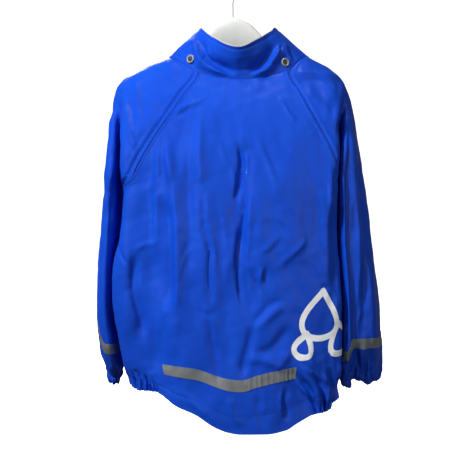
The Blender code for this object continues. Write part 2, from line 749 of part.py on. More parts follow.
def mitre(line, out, loop):
    """Turns and lengthens a row's outward directions so that both sides of a corner keep their thickness."""
    before, after = line - np.roll(line, 1, 0), np.roll(line, -1, 0) - line
    if loop:
        before[0], after[-1] = line[0] - line[-2], line[1] - line[0]
    before /= np.linalg.norm(before, axis=1)[:, None]
    after /= np.linalg.norm(after, axis=1)[:, None]
    way = before + after
    way /= np.linalg.norm(way, axis=1)[:, None]
    turned = out - way * np.sum(out * way, axis=1)[:, None]
    turned /= np.linalg.norm(turned, axis=1)[:, None]
    turned /= np.clip(np.sum(way * after, axis=1), 0.6, 1.0)[:, None]
    if not loop:
        turned[0], turned[-1] = out[0], out[-1]
    return turned


def tube(name, rings, finish):
    """A closed solid round rings of the same number of points, capped flat at both ends."""
    count = len(rings[0])
    faces = []
    for r in range(len(rings) - 1):
        for k in range(count):
            a, b = r * count + k, r * count + (k + 1) % count
            faces.append((a, b, b + count, a + count))
    faces.append(tuple(range(count))[::-1])
    last = (len(rings) - 1) * count
    faces.append(tuple(range(last, last + count)))
    return add_object(name, np.vstack(rings), faces, finish)


def lathe(name, centre, axis, profile, finish, sides=20):
    """A closed solid turned about an axis. Profile is (radius, height) rows, from the axis to the axis."""
    axis = axis / np.linalg.norm(axis)
    side = np.cross(axis, [0.0, 0.0, 1.0])
    side /= np.linalg.norm(side)
    up = np.cross(axis, side)
    points, rings, faces = [], [], []
    for radius, height in profile:
        if radius == 0:
            rings.append([len(points)] * sides)
            points.append(centre + axis * height)
            continue
        rings.append(list(range(len(points), len(points) + sides)))
        for k in range(sides):
            turn = 2 * math.pi * k / sides
            points.append(centre + axis * height + radius * (math.cos(turn) * side + math.sin(turn) * up))
    for low, high in zip(rings, rings[1:]):
        for k in range(sides):
            a, b, c, d = low[k], low[(k + 1) % sides], high[(k + 1) % sides], high[k]
            if a == b:
                faces.append((a, c, d))
            elif c == d:
                faces.append((a, b, c))
            else:
                faces.append((a, b, c, d))
    return add_object(name, np.array(points), faces, finish)


# ---------------------------------------------------------------- the coat
def rim_places(face, row):
    """Distances across of points on the turned-in sides of a face, from the rims to the side seams."""
    found = []
    for side, sign in ((LEFT, -1), (RIGHT, 1)):
        here = level(side, row)
        if face == BACK:
            rim, end = here.along[4 * STEPS], here.along[here.cleft_index]
        else:
            sign = -1 if side == RIGHT else 1
            rim, end = here.along[-1] - here.along[-1 - 4 * STEPS], here.along[-1] - here.cleft_at(FRONT)
        found += [sign * (rim + (end - rim) * share) for share in (0.0, 0.33, 0.67)]
    return found


def raised(rows, height):
    """The same rows moved outward."""
    return [(line + out * height, out, names, loop) for line, out, names, loop in rows]


def body_row(cloth, face, row, places, start=None, stop=None):
    """A row of a face at the places that lie between its seams, or from start to stop."""
    first, last = cloth.ends(row)
    first = first + SEAM_GAP / 2 if start is None else start
    last = last - SEAM_GAP / 2 if stop is None else stop
    sides = rim_places(face, row)
    inner_left, inner_right = max(p for p in sides if p < 0), min(p for p in sides if p > 0)
    middle = [p for p in places if inner_left + 5 < p < inner_right - 5]
    inside = [p for p in sorted(middle + sides) if first + 4 < p < last - 4]
    at = np.array([first, *inside, last])
    line, out = cloth.surface(cloth.share(row, at), row)
    return line, mitre(line, out, False), at, False


def gathered_row(cloth, face, row, places, start=None, stop=None):
    """A row with a point on the top and bottom of every gather of the hem."""
    first, last = cloth.ends(row)
    half = HEM_GATHER["pitch"] / 2
    steps = np.arange(1, int(GATHER_REACH[face] / half)) * half
    at = [first + SEAM_GAP / 2, *(first + steps)] if start is None else [start]
    end = [*(last - steps[::-1]), last - SEAM_GAP / 2] if stop is None else [stop]
    at = np.array(at + [p for p in places if at[-1] + half < p < end[0] - half] + end)
    line, out = cloth.surface(cloth.share(row, at), row)
    return line, out, at, False


BACK_PLACES = (
    -146, -132, -119, -106, -96, -86, -74, -62, -50, -38, -26, -14,
    -4, 6, 17, 30, 45, 60, 76, 92, 108, 122, 136,
)
BACK_ROWS = (*SEAM_ROWS, 380, 412, 446, 480, 514, 544)
HEM_ROWS = (590.0, 600.0, SIDE_END)
FRONT_PLACES = (-140, -122, -104, -87, -70, -52, -36, -21, -10.5, 10.5, 21, 36, 52, 70, 87, 104, 122, 140)
FRONT_ROWS = (*SEAM_ROWS, 388, 428, 468, 508, 548)
ARM_TOP_STEPS = (2.0, 9, 18)  # from the top of the shoulder at the neck
ARM_ROWS = (*SEAM_ROWS, 380, 415, 450, 490, 525)
CUFF_ROWS = (-19, -8, 0)  # from the end of the sleeve


def build_back(cloth, finish, strip_finish):
    ends = [place - CENTRE_X for place in STRIP_ENDS]
    rows = [body_row(cloth, BACK, row, BACK_PLACES) for row in BACK_ROWS]
    rows += [body_row(cloth, BACK, row, sorted({*BACK_PLACES, *ends})) for row in STRIP_LEVELS]
    rows += [body_row(cloth, BACK, HEM_ROWS[0], BACK_PLACES)]
    rows += [gathered_row(cloth, BACK, row, BACK_PLACES) for row in HEM_ROWS[1:]]
    wall("back", rows, WALL, finish)
    places = sorted({*BACK_PLACES, *ends})
    rows = [body_row(cloth, BACK, row, places, *ends) for row in STRIP_LEVELS]
    wall("back_strip", raised(rows, LAY_GAP + STRIP_WALL), STRIP_WALL, strip_finish)


def build_fronts(cloth, finish):
    """Two fronts that meet at the middle, which is under the storm flap."""
    for name, start, stop in (("front_right", None, -SEAM_GAP / 2), ("front_left", SEAM_GAP / 2, None)):
        rows = [body_row(cloth, FRONT, row, FRONT_PLACES, start, stop) for row in (*FRONT_ROWS, HEM_ROWS[0])]
        rows += [gathered_row(cloth, FRONT, row, FRONT_PLACES, start, stop) for row in HEM_ROWS[1:]]
        wall(name, rows, WALL, finish)


def marks(side, row):
    """Places round a sleeve, from the middle of the back: its back seam, the bottom of the cleft, its near
    ridge, outer edge and far ridge, the front cleft and its front seam, with numbers for them."""
    here = level(side, row)
    ridge, edge, far = np.array((3, 6, 9)) * STEPS
    if here.split:
        whole = here.arm_along
        return np.array([0.0, whole[ridge], whole[edge], whole[far], whole[-1]]), np.arange(1.0, 6.0)
    cleft = here.cleft_index
    middle = here.along[[cleft, cleft + ridge, cleft + edge, cleft + far]]
    return np.array([here.seam_at(BACK), *middle, here.cleft_at(FRONT), here.seam_at(FRONT)]), np.arange(7.0)


COLUMN_STEP = 16.0
CLEFT_POINT = 4.5  # from the bottom of the cleft to the next column


def pleat_places(side, row):
    """Places round a sleeve on both sides of its pleat, on the back and the front."""
    here, pleat = level(side, row), PLEAT[side]
    outward, turn = here.arm[:, 0] * side, 6 * STEPS
    places = []
    for part in (slice(0, turn + 1), slice(turn, None)):
        out, along = outward[part], here.arm_along[part]
        order = np.argsort(out)
        for edge in (-0.5, 0.5):
            at = pleat["out"] + edge * pleat["width"]
            if at < out.max() - 2.0:
                places.append(float(np.interp(at, out[order], along[order])))
    return places


def arm_places(side, row):
    """Places round a sleeve for one row, and how far each stands proud for the felled seam."""
    at, numbers = marks(side, row)
    loop = len(at) == 5
    gap = 0.0 if loop else SEAM_GAP / 2
    first, last = at[0] + gap, at[-1] - gap
    wide = not loop and at[1] - at[0] > 3 * SEAM_WIDTH
    places = []
    for start, stop, number in zip(at, at[1:], numbers):
        if wide and number == 0:
            band = [first + SEAM_WIDTH - 0.8, first + SEAM_WIDTH + 0.8]
            places, start = places + band, band[1]
        if wide and number == 5:
            band = [last - SEAM_WIDTH - 0.8, last - SEAM_WIDTH + 0.8]
            places, stop = places + band, band[0]
        if not loop and stop - start > 24:
            places += [start + CLEFT_POINT] if number == 1 else []
            places += [stop - CLEFT_POINT] if number == 4 else []
        count = max(1, int(round((stop - start) / COLUMN_STEP)))
        places += list(start + (stop - start) * np.arange(1, count + 1) / count)
    creases = pleat_places(side, row) if loop else []
    places = [p for p in places if all(abs(p - crease) > 3.0 for crease in creases)] + creases
    inside = [p for p in sorted(places) if first + 2.0 < p < last - 2.0]
    inside = [p for p, before in zip(inside, [first, *inside]) if p - before > 0.8]
    places = np.array([first, *inside, last])
    lift = np.zeros(len(places))
    if wide:
        lift[(places < first + SEAM_WIDTH) | (places > last - SEAM_WIDTH)] = SEAM_RAISE
    return places, np.interp(places, at, numbers), lift


def sleeve_row(cloth, row, columns=None):
    places, numbers, lift = arm_places(cloth.side, row)
    loop = len(marks(cloth.side, row)[0]) == 5
    if columns:
        at, names = marks(cloth.side, row)
        places = np.linspace(0, at[-1], columns)
        numbers, lift = np.interp(places, at, names), np.zeros(columns)
    shares = cloth.share(row, places)
    if cloth.side == LEFT:
        shares, numbers, lift = shares[::-1], -numbers[::-1], lift[::-1]
    line, out = cloth.surface(shares, row, lift)
    if loop:
        line[-1], out[-1] = line[0], out[0]
    if not columns:
        out = mitre(line, out, loop)
    return line, out, numbers, loop


def build_sleeve(cloth, name, finish, strip_finish):
    side = cloth.side
    strip, end = ARM_STRIP[side], CUFF_END[side]
    top = [SIDES[side]["drop"][0] + step for step in ARM_TOP_STEPS]
    rows = [sleeve_row(cloth, row) for row in (*top, *ARM_ROWS, *strip)]
    rows += [sleeve_row(cloth, end + CUFF_ROWS[0])]
    rows += [sleeve_row(cloth, end + step, columns=2 * CUFF_GATHER["count"] + 1) for step in CUFF_ROWS[1:]]
    wall(f"sleeve_{name}", rows, WALL, finish)
    rows = [sleeve_row(cloth, row) for row in strip]
    wall(f"sleeve_strip_{name}", raised(rows, LAY_GAP + STRIP_WALL), STRIP_WALL, strip_finish)


class Collar:
    """The stand collar, over turns from 0 to 1 that start at the middle of the front and go by the wearer's
    left, and shares of its height from 0 at the neck seam to 1 at its free edge."""

    def __init__(self, back, front, sleeves):
        whole, half = np.linspace(0, 1, 40), np.linspace(0, 0.5, 8)
        left, right = sleeves[LEFT], sleeves[RIGHT]
        runs = []
        for first, sleeve, second in ((front, left, back), (back, right, front)):
            top = SIDES[sleeve.side]["drop"][0] + ARM_TOP_STEPS[0]
            down = np.linspace(top, RAGLAN_TOP, 12)
            middle = first.share(RAGLAN_TOP, 0.0)
            across = middle + (1 - middle) * whole
            runs.append([(first, across, RAGLAN_TOP), (sleeve, 0.0, down[::-1]), (sleeve, half, top)])
            middle = second.share(RAGLAN_TOP, 0.0)
            over = [(sleeve, 0.5 + half, top), (sleeve, 1.0, down)]
            runs.append([*over, (second, middle * whole, RAGLAN_TOP)])
        quarters = [[cloth.surface(shares, row)[0] for cloth, shares, row in run] for run in runs]
        lines = [np.vstack(quarter) for quarter in quarters]
        for k in range(4):
            lines[k] = np.vstack([lines[k], lines[(k + 1) % 4][:1]])
        self.quarter_lengths = [lengths(line)[-1] for line in lines]
        even = np.linspace(0, 1, 33)[:-1]
        self.neck = np.vstack([pick(line, lengths(line), even * lengths(line)[-1]) for line in lines])
        self.neck = np.vstack([self.neck, self.neck[:1]])
        free = np.column_stack([COLLAR_EDGE["x"], COLLAR_EDGE["y"], -COLLAR_EDGE["drop"]])
        self.edge = spline(free[:-1], 16, closed=True)
        self.edge_turns = np.interp(np.arange(len(self.edge)) / 16, np.arange(len(free)), COLLAR_EDGE["turn"])

    def shaped(self, turn, height):
        turn, height = np.broadcast_arrays(np.asarray(turn, float) % 1.0, np.asarray(height, float))
        low = pick(self.neck, np.linspace(0, 1, len(self.neck)), turn.ravel()).reshape(turn.shape + (3,))
        top = pick(self.edge, self.edge_turns, turn.ravel()).reshape(turn.shape + (3,))
        out = low - np.array([CENTRE_X, 0.0, 0.0])
        out[..., 2] = 0
        out /= np.linalg.norm(out, axis=-1)[..., None]
        share = height[..., None]
        return low + (top - low) * share + out * COLLAR_BULGE * np.sin(math.pi * np.clip(share, 0, 1))

    def surface(self, turn, height, lift=0.0):
        step = 0.006
        turn = np.asarray(turn, float)
        across = self.shaped(turn + step, height) - self.shaped(turn - step, height)
        down = self.shaped(turn, height - 0.02) - self.shaped(turn, height + 0.02)
        n = np.cross(down, across)
        n /= np.linalg.norm(n, axis=-1)[..., None]
        return self.shaped(turn, height) + n * lift, n


COLLAR_ROWS = (1.0, 0.75, 0.5, 0.25, 0.022)
COLLAR_COLUMNS = 45
FLAP_COLUMNS = (-0.5, -0.25, 0.0, 0.25, 0.5)


def build_collar(collar, finish):
    gap = SEAM_GAP / 2 / sum(collar.quarter_lengths)
    turns = np.linspace(gap, 1 - gap, COLLAR_COLUMNS)
    rows = [(*collar.surface(turns, height), turns, False) for height in COLLAR_ROWS]
    return wall("collar", rows, COLLAR_WALL, finish)


def flap_line(cloth, collar, place, lift):
    """A row of the storm flap at a place: ("collar", share of its height) or ("front", row)."""
    columns = np.array(FLAP_COLUMNS) * FLAP_WIDTH
    if place[0] == "collar":
        return collar.surface(columns / sum(collar.quarter_lengths), place[1], lift)
    return cloth.surface(cloth.share(place[1], columns), place[1], lift)


def build_flap(cloth, collar, finish):
    places = [("collar", height) for height in (0.94, 0.8, 0.6, 0.4, 0.2)]
    places += [("front", row) for row in (*FRONT_ROWS[1:], HEM_ROWS[0], SIDE_END - FLAP_END)]
    rows = []
    for place in places:
        line, out = flap_line(cloth, collar, place, LAY_GAP + WALL)
        rows.append((line, out, np.array(FLAP_COLUMNS), False))
    wall("storm_flap", rows, WALL, finish)


def build_snaps(cloth, collar, finish):
    for number, place in enumerate(SNAP_PLACES, 1):
        line, out = flap_line(cloth, collar, place, LAY_GAP + WALL + SNAP_LIFT)
        lathe(f"flap_snap_{number}", line[2], out[2], SNAP_PROFILE, finish, sides=14)
    for side, name in ((LEFT, "left"), (RIGHT, "right")):
        turn, height = HOOD_SNAP_PLACES[side]
        point, out = collar.surface(turn, height, SNAP_LIFT)
        lathe(f"hood_snap_{name}", point, out, HOOD_SNAP_PROFILE, finish, sides=20)


# ---------------------------------------------------------------- the hanger
def shoulder_drop(side, x):
    """The drop of the top of the shoulder at a distance out."""
    rows = SIDES[side]
    return float(np.interp(x, rows["edge_out"][:5], rows["drop"][:5]))


HANGER_STATIONS = (0.001, 9, 18, 25, 30, 33.5, 35.5, 37.5, 44, 56, 72, 90, 108, 126, 142, 154)
HANGER_CLEAR = 3.8  # under the cloth of the shoulder


def hanger_section(side, x):
    """Top and bottom drops and half thickness of the hanger at a distance out."""
    neck = SIDES[side]["edge_out"][0]
    if x < neck + 14:
        ends = shoulder_drop(side, neck) + 5.5, shoulder_drop(side, neck + 14) + HANGER_CLEAR
        top = np.interp(x, (36, 56, neck - 4, neck + 14), (112.5, 122.0, *ends))
    else:
        top = shoulder_drop(side, x) + HANGER_CLEAR
    if x < DOME_RADIUS:
        top = DOME_TOP + DOME_RADIUS - math.sqrt(DOME_RADIUS**2 - x**2)
    tip = ARM_END[side]
    taper = math.sqrt(max(0.0, 1 - max(0.0, (x - (tip - 12)) / 12) ** 2))
    dome = DOME_HALF_THICKNESS
    thick = np.interp(x, (0, 36, 70, tip - 40, tip), (dome, dome, 6.0, 6.0, 5.0))
    height = np.interp(x, (0, 36, 60, 100, tip), (70.0, 33.0, ARM_HEIGHT, ARM_HEIGHT, 15.0))
    if x < DOME_RADIUS:
        height = 145.0 - top
    centre = top + 0.5 * height
    half = 0.5 * height * (0.35 + 0.65 * taper)
    return centre - half, centre + half, thick * (0.35 + 0.65 * taper)


def build_hanger(finish, wire_finish):
    rings = []
    stations = [(LEFT, ARM_END[LEFT])] + [(LEFT, x) for x in HANGER_STATIONS[::-1]]
    stations += [(RIGHT, x) for x in HANGER_STATIONS[1:-1]] + [(RIGHT, 150.0), (RIGHT, ARM_END[RIGHT])]
    turns = np.arange(12) * 2 * math.pi / 12
    for side, x in stations:
        top, low, thick = hanger_section(side, x)
        y, z = thick * np.cos(turns), -(top + low) / 2 + (low - top) / 2 * np.sin(turns)
        rings.append(np.column_stack([np.full(12, side * x), y, z]))
    tube("hanger", rings, finish)

    bend = HOOK_RADIUS + HOOK_WIRE
    path = [(-3, 74.6), (-3, 71.6), (-3, 71.2), (-3, 62), (-2.5, 54), (1.5, 46.5), (10, 39.5)]
    widths = [4.2, 4.2, HOOK_WIRE, HOOK_WIRE, HOOK_WIRE, HOOK_WIRE, HOOK_WIRE]
    for angle in range(-30, 211, 20):
        turn = math.radians(angle)
        path.append((bend * math.cos(turn), HOOK_RADIUS - bend * math.sin(turn)))
        widths.append(HOOK_WIRE)
    path = np.array([(x, 0.0, -drop) for x, drop in path])
    step = np.gradient(path, axis=0)
    step[:3] = [0, 0, 1]
    step /= np.linalg.norm(step, axis=1)[:, None]
    rings = []
    for point, way, width in zip(path, step, widths):
        side = np.cross([0, 1, 0], way)
        spin = np.arange(10) * 2 * math.pi / 10
        spokes = np.cos(spin)[:, None] * side + np.sin(spin)[:, None] * np.array([0, 1, 0])
        rings.append(point + width * spokes)
    tube("hook", rings, wire_finish)


def main():
    clear_scene()
    blue = material("coated satin cloth", (0.018, 0.075, 0.52), 0.35)
    grey = material("reflective strip", (0.16, 0.17, 0.19), 0.4)
    metal = material("nickel plated brass", (0.55, 0.55, 0.54), 0.3, 1.0)
    white = material("white plastic", (0.86, 0.87, 0.86), 0.4)
    steel = material("chrome plated steel wire", (0.7, 0.7, 0.7), 0.2, 1.0)

    back = Cloth(lambda drop, shares: body_line(BACK, drop, shares), back_drop, hem_gathers(BACK))
    front = Cloth(lambda drop, shares: body_line(FRONT, drop, shares), front_drop, hem_gathers(FRONT))
    sleeves = {side: Sleeve(side) for side in (LEFT, RIGHT)}
    collar = Collar(back, front, sleeves)

    build_back(back, blue, grey)
    build_fronts(front, blue)
    for side, name in ((LEFT, "left"), (RIGHT, "right")):
        build_sleeve(sleeves[side], name, blue, grey)
    build_collar(collar, blue)
    build_flap(front, collar, blue)
    build_snaps(front, collar, metal)
    build_hanger(white, steel)


main()
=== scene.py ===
"""Looks of a child's raincoat on its hanger: coated cloth with its folds and gathers, stitching,
reflective strips, snaps, a printed design, the hanger, the studio and the camera.

Lengths in the code are millimetres unless a name or a property says otherwise. Meshes are made in
metres, +Z up. The coat's back faces -Y and the wearer's left is -X. A place on the cloth is a row,
which is a level's distance below the origin before hems and cuffs are bent to shape, and a share of
the way between two seams.
"""

import functools
import json
import math

import bpy
import numpy as np
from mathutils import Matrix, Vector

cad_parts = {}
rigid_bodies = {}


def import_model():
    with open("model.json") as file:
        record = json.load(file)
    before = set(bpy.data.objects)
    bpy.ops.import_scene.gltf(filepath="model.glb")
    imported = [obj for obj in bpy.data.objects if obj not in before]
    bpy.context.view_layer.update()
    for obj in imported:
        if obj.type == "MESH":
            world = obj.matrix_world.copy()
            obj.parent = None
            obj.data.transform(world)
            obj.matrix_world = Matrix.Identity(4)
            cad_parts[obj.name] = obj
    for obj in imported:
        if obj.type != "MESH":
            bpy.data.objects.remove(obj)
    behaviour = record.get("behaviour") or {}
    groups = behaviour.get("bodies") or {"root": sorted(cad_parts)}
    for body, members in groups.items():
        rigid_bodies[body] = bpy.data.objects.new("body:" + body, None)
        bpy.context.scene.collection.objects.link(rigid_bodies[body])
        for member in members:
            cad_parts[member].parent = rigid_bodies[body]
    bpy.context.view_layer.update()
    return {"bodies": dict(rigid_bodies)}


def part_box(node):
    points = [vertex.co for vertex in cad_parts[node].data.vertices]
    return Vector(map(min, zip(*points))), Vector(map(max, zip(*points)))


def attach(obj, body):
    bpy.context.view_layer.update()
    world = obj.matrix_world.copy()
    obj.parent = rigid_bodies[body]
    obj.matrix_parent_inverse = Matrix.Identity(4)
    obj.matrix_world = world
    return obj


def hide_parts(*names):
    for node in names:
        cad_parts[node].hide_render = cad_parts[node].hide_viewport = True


bl_info = {
    "name": "Raincoat on a hanger",
    "version": (1, 0, 0),
    "blender": (4, 5, 0),
    "location": "3D View > Sidebar > Raincoat",
    "description": "Dresses the packed raincoat with cloth, stitching, strips, snaps and print",
    "category": "Object",
}

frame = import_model()
BODY = next(iter(frame["bodies"]))
MM = 0.001

# ---------------------------------------------------------------- the coat's sizes, as the solids have them
SEAM_GAP = 0.3  # between pieces that are sewn together
BACK, FRONT = -1, 1
LEFT, RIGHT = -1, 1
SIDE_NAMES = {LEFT: "left", RIGHT: "right"}
CENTRE_X = 6.0  # the coat's middle
MIDDLE_Y = 4.0  # the plane of the side seams
FRONT_SHARE = 0.88  # the front's depth, as a share of the back's
RAGLAN_TOP = 161.5  # the rows of the raglan seams' tops, the underarms, the hem and the cuffs
UNDERARM = {LEFT: 356.0, RIGHT: 349.0}
SIDE_END = 612.0
CUFF_END = {LEFT: 609.0, RIGHT: 621.0}
CROTCH = 30.0  # the cleft between body and sleeve closes over this height above the underarm
CUFF_TILT = {LEFT: 12.0, RIGHT: 4.0}  # how far the back of a cuff hangs below its middle
ARM_STRIP = {LEFT: (549.0, 564.0), RIGHT: (562.0, 577.0)}
ARM_STRIP_TILT = {LEFT: 9.0, RIGHT: 7.0}
# A sleeve's pleat: how far out it is, its width, and how far strip and cuff step up beyond it.
PLEAT = {
    LEFT: {"out": 193.0, "width": 6.0, "strip": 24.0, "cuff": 6.0},
    RIGHT: {"out": 168.0, "width": 7.0, "strip": 18.0, "cuff": 10.0},
}
NECK_SAG = {BACK: 13.0, FRONT: 36.0}
FRONT_HEM_SAG = 14.0
ARM_TOP = 2.0  # the sleeves begin this far below the top of the shoulder
BACK_LEVEL = (270.0, 440.0)  # the rows between which each piece's rows are level
FRONT_LEVEL = (290.0, 480.0)
ARM_LEVEL = (100.0, 440.0)
ARM_ROUND = 270.0  # about the length round an arm


def table(columns, *rows):
    """Rows of numbers under named columns, as one array for each column."""
    return dict(zip(columns.split(), np.array(rows, float).T))


# How far the middle of the back stands out at each drop.
FULLNESS = table(
    "drop depth",
    (130, 29), (165, 37), (183, 44), (205, 53), (240, 63), (280, 70),
    (330, 76), (400, 81), (500, 85), (600, 89), (700, 92),
)

# The outline of each side, outward from x = 0 and backward from y = 0.
SIDES = {
    LEFT: table(
        "drop rim_out rim_back cleft_out cleft_back ridge_out ridge_back edge_out",
        (134, 94.6, 3.5, 95, 3, 95.5, 2, 96),
        (150, 115, 17, 126, 11, 133, 5, 136),
        (165, 141, 23, 152, 16, 159, 8, 162),
        (183, 155, 29, 165, 20, 172, 10, 176),
        (205, 162, 36, 168, 25, 177, 18, 181),
        (240, 164, 50, 167, 19, 177, 33, 184.5),
        (280, 162, 58, 165, 9, 178, 43, 187.5),
        (330, 159, 62, 162, 6, 180, 48, 193.5),
        (356, 157, 63, 160, 5, 181, 49, 195.5),
        (400, 162, 64, 160, -4, 184, 51, 199.5),
        (450, 172, 64, 165, -4, 188, 50, 203),
        (500, 173, 64, 166, -4, 189, 50, 205.5),
        (550, 164, 62, 157, -4, 184, 49, 204),
        (585, 158, 60, 148, -4, 178, 47, 198.5),
        (612, 150, 54, 140, -4, 174, 45, 197),
    ),
    RIGHT: table(
        "drop rim_out rim_back cleft_out cleft_back ridge_out ridge_back edge_out",
        (132, 106.6, 3.5, 107, 3, 107.5, 2, 108),
        (150, 124, 17, 133, 11, 139, 5, 141.5),
        (165, 139, 23, 149, 16, 156, 8, 160),
        (183, 149, 29, 158, 20, 166, 10, 170.5),
        (205, 151, 38, 157, 25, 167, 20, 175.5),
        (240, 150, 50, 154, 19, 165, 37, 182),
        (280, 149, 58, 151, 9, 162, 48, 188.5),
        (330, 147, 62, 149, 6, 160, 53, 197),
        (349, 146, 62, 148, 5, 160, 54, 199.5),
        (400, 146, 62, 145, -4, 160, 54, 206),
        (450, 150, 62, 147, -4, 163, 53, 212.5),
        (500, 153, 61, 148, -4, 166, 52, 218.5),
        (550, 154, 60, 146, -4, 167, 51, 222),
        (585, 152, 58, 139, -4, 163, 49, 225),
        (612, 147, 54, 132, -4, 158, 46, 224),
    ),
}
ARMS = {
    LEFT: table(
        "drop inner_out far_out far_front",
        (134, 90, 95.5, 9.3), (150, 120, 133, 12), (165, 145, 159, 14.5), (183, 165, 172, 16.5),
        (240, 168, 177, 36), (300, 165, 179, 60), (356, 161.5, 180, 74), (400, 164, 183, 76),
        (450, 170, 186, 72), (500, 172, 188, 66), (550, 166, 186, 58), (612, 160, 180, 34),
    ),
    RIGHT: table(
        "drop inner_out far_out far_front",
        (132, 102, 107.5, 9.3), (150, 128, 139, 12), (165, 145, 156, 14.5), (183, 158, 166, 16.5),
        (240, 155, 168, 36), (300, 152, 174, 58), (349, 149.5, 180, 70), (400, 150, 188, 70),
        (450, 152, 194, 66), (500, 157, 198, 60), (550, 158, 201, 54), (612, 154, 196, 40),
    ),
}

# Where the neck seam and then the raglan seam cross each level, outward from x = 0.
SEAMS = {
    LEFT: table(
        "drop out",
        (134, 95), (141, 84), (151, 70), (161.5, 58.5), (191, 77), (227, 100),
        (259, 121), (286, 137.5), (312, 150), (328, 156), (356, 160),
    ),
    RIGHT: table(
        "drop out",
        (132, 107), (140, 97), (150, 88), (161.5, 81), (191, 96),
        (224, 113), (256, 130), (281, 142), (300, 147), (349, 150),
    ),
}
SEAM_TURN = {LEFT: (316.0, 349.0), RIGHT: (290.0, 341.0)}

# Edges of the back's strip and its dropped hem. "across" is measured round the cloth from x = 0.
STRIP_TOP = table(
    "across drop",
    (-230, 560), (-160, 571), (-106, 583), (-62, 587), (-12, 602), (7, 603.5),
    (30, 597), (62, 590), (90, 586), (150, 572), (215, 560),
)
STRIP_LOW = table(
    "across drop",
    (-230, 575), (-160, 585), (-106, 597), (-62, 602), (-12, 617), (7, 619),
    (30, 612.5), (62, 605), (90, 601), (150, 588), (215, 578),
)
HEM = table(
    "across drop",
    (-230, 612), (-160, 615), (-140, 622), (-118, 622.5), (-108, 625), (-95, 633), (-85, 640),
    (-53, 653), (-25, 670), (-7, 676.5), (11, 679), (43, 679), (71, 675), (93, 664),
    (114, 655), (137, 652), (147, 642), (160, 631), (180, 628), (215, 625),
)
STRIP_ENDS = (-106.0, 88.0)
STRIP_LEVELS = (566.0, 582.0)

# Large folds: a ridge (+) or trough (-) from one end to the other, in x and drop on the body's faces.
BACK_FOLDS = table(
    "x0 drop0 x1 drop1 width height",
    (-100, 262, -86, 372, 9, 3.6),
    (-122, 300, -112, 470, 15, -5.5),
    (-84, 360, -84, 560, 13, 4.0),
    (-118, 430, -110, 600, 20, -6.5),
    (-150, 400, -146, 540, 13, 4.0),
    (-50, 230, -38, 470, 16, 3.2),
    (14, 280, 2, 390, 7, -4.2),
    (8, 385, 24, 520, 9, -4.6),
    (30, 300, 44, 470, 16, 2.6),
    (-20, 420, -8, 590, 12, -3.0),
    (66, 290, 84, 430, 22, 2.4),
    (128, 300, 132, 470, 9, 2.8),
    (98, 560, 132, 636, 8, 4.0),
    (80, 590, 108, 650, 8, -3.0),
    (-62, 560, -70, 640, 14, 2.5),
)
FRONT_FOLDS = table(
    "x0 drop0 x1 drop1 width height",
    (-104, 270, -92, 400, 12, 4.0),
    (-74, 330, -70, 560, 16, -5.0),
    (-128, 380, -124, 580, 14, 4.5),
    (96, 260, 88, 420, 11, 4.0),
    (70, 340, 76, 570, 17, -5.0),
    (118, 390, 122, 570, 13, 4.0),
)
# On an arm, x is the share of the way round from its inner seam by the back.
ARM_FOLDS = {
    LEFT: table(
        "x0 drop0 x1 drop1 width height",
        (0.36, 215, 0.36, 560, 7, 2.2),
        (0.30, 380, 0.33, 590, 7, -2.2),
        (0.58, 260, 0.62, 560, 12, -3.5),
        (0.72, 300, 0.70, 590, 10, 3.0),
    ),
    RIGHT: table(
        "x0 drop0 x1 drop1 width height",
        (0.22, 240, 0.24, 560, 6, 2.2),
        (0.31, 260, 0.33, 590, 8, -4.0),
        (0.40, 380, 0.42, 590, 7, 2.8),
        (0.60, 300, 0.62, 580, 12, -3.5),
    ),
}
HEM_GATHER = {"height": 24.0, "pitch": 5.8, "size": 1.7}
CUFF_SHRINK = (0.92, 0.62)  # of a cuff's width and depth, by its elastic
CUFF_PULL = (62.0, 50.0)  # it is drawn in from this far above its end, over this length
CUFF_LEVEL = 600.0  # and towards its middle at this level

# Collar: its free edge, going round from the middle of the front by the wearer's left.
COLLAR_EDGE = table(
    "turn x y drop",
    (0.00, 6, 50, 138),
    (0.13, -28, 42, 120),
    (0.25, -51, 4, 89),
    (0.37, -30, -38, 113),
    (0.50, 5, -56, 130),
    (0.63, 40, -42, 113),
    (0.75, 63, 4, 90),
    (0.87, 42, 40, 120),
    (1.00, 6, 50, 138),
)
COLLAR_BULGE = 0.5
NECK_STEPS, EDGE_STEPS = 32, 16  # between two quarters of the neck seam, and two points of the free edge
FLAP_WIDTH = 42.0
FLAP_END = 8.0  # the storm flap stops this far above the hem
FLAP_TOP = 176.0  # and lies on the fronts from this row down
FLAP_SHARES = (0.94, 0.1)  # of the collar's height that it covers
FRONTS_MEET = 500.0  # the fronts' edges are at x = 0 at this row

# ---------------------------------------------------------------- sizes of the cloth's finish
SEAM_RAISE = 0.9  # the raglan seams' felled band stands this far out, on the body's side
SEAM_WIDTH = 9.0
SEAM_STITCHES = (2.4, 7.6)  # its two rows of stitches, from the seam
HEM_STITCH = 11.0  # rows from the hem's edge to its stitching
CUFF_STITCH = 10.0
COLLAR_STITCHES = (0.085, 0.93)  # shares of the collar's height from its free edge to its stitching
FLAP_STITCH = 5.0  # from the storm flap's edge
STITCH_LENGTH = 2.6
STITCH_PITCH = 3.3
TURNED_IN = (8.0, 24.0)  # how far a panel's top and its hem or cuff are turned in
TUCK, SINK = 1.6, 1.1  # how far a panel's margin goes under the pieces sewn to it, and how deep
NOMINAL_WIDTH = 400.0  # turns such small lengths into shares of a panel's width
CLOTH_WALL, LAY_GAP = 1.0, 0.4  # the cloth under a piece that lies on another, and the gap between
FLAP_LIFT = 0.5  # the flap stands off by this much more
TAPE_LIFT, TAPE_WALL = 0.55, 0.5
COLLAR_WALL = 1.7
SHARP_ANGLE = math.radians(50)  # edges sharper than this aren't shaded smooth
TIGHTEST = 0.6  # a fold may shorten the inside of a wall to this share of its outside
THINNEST = 0.12  # the wall's least thickness there
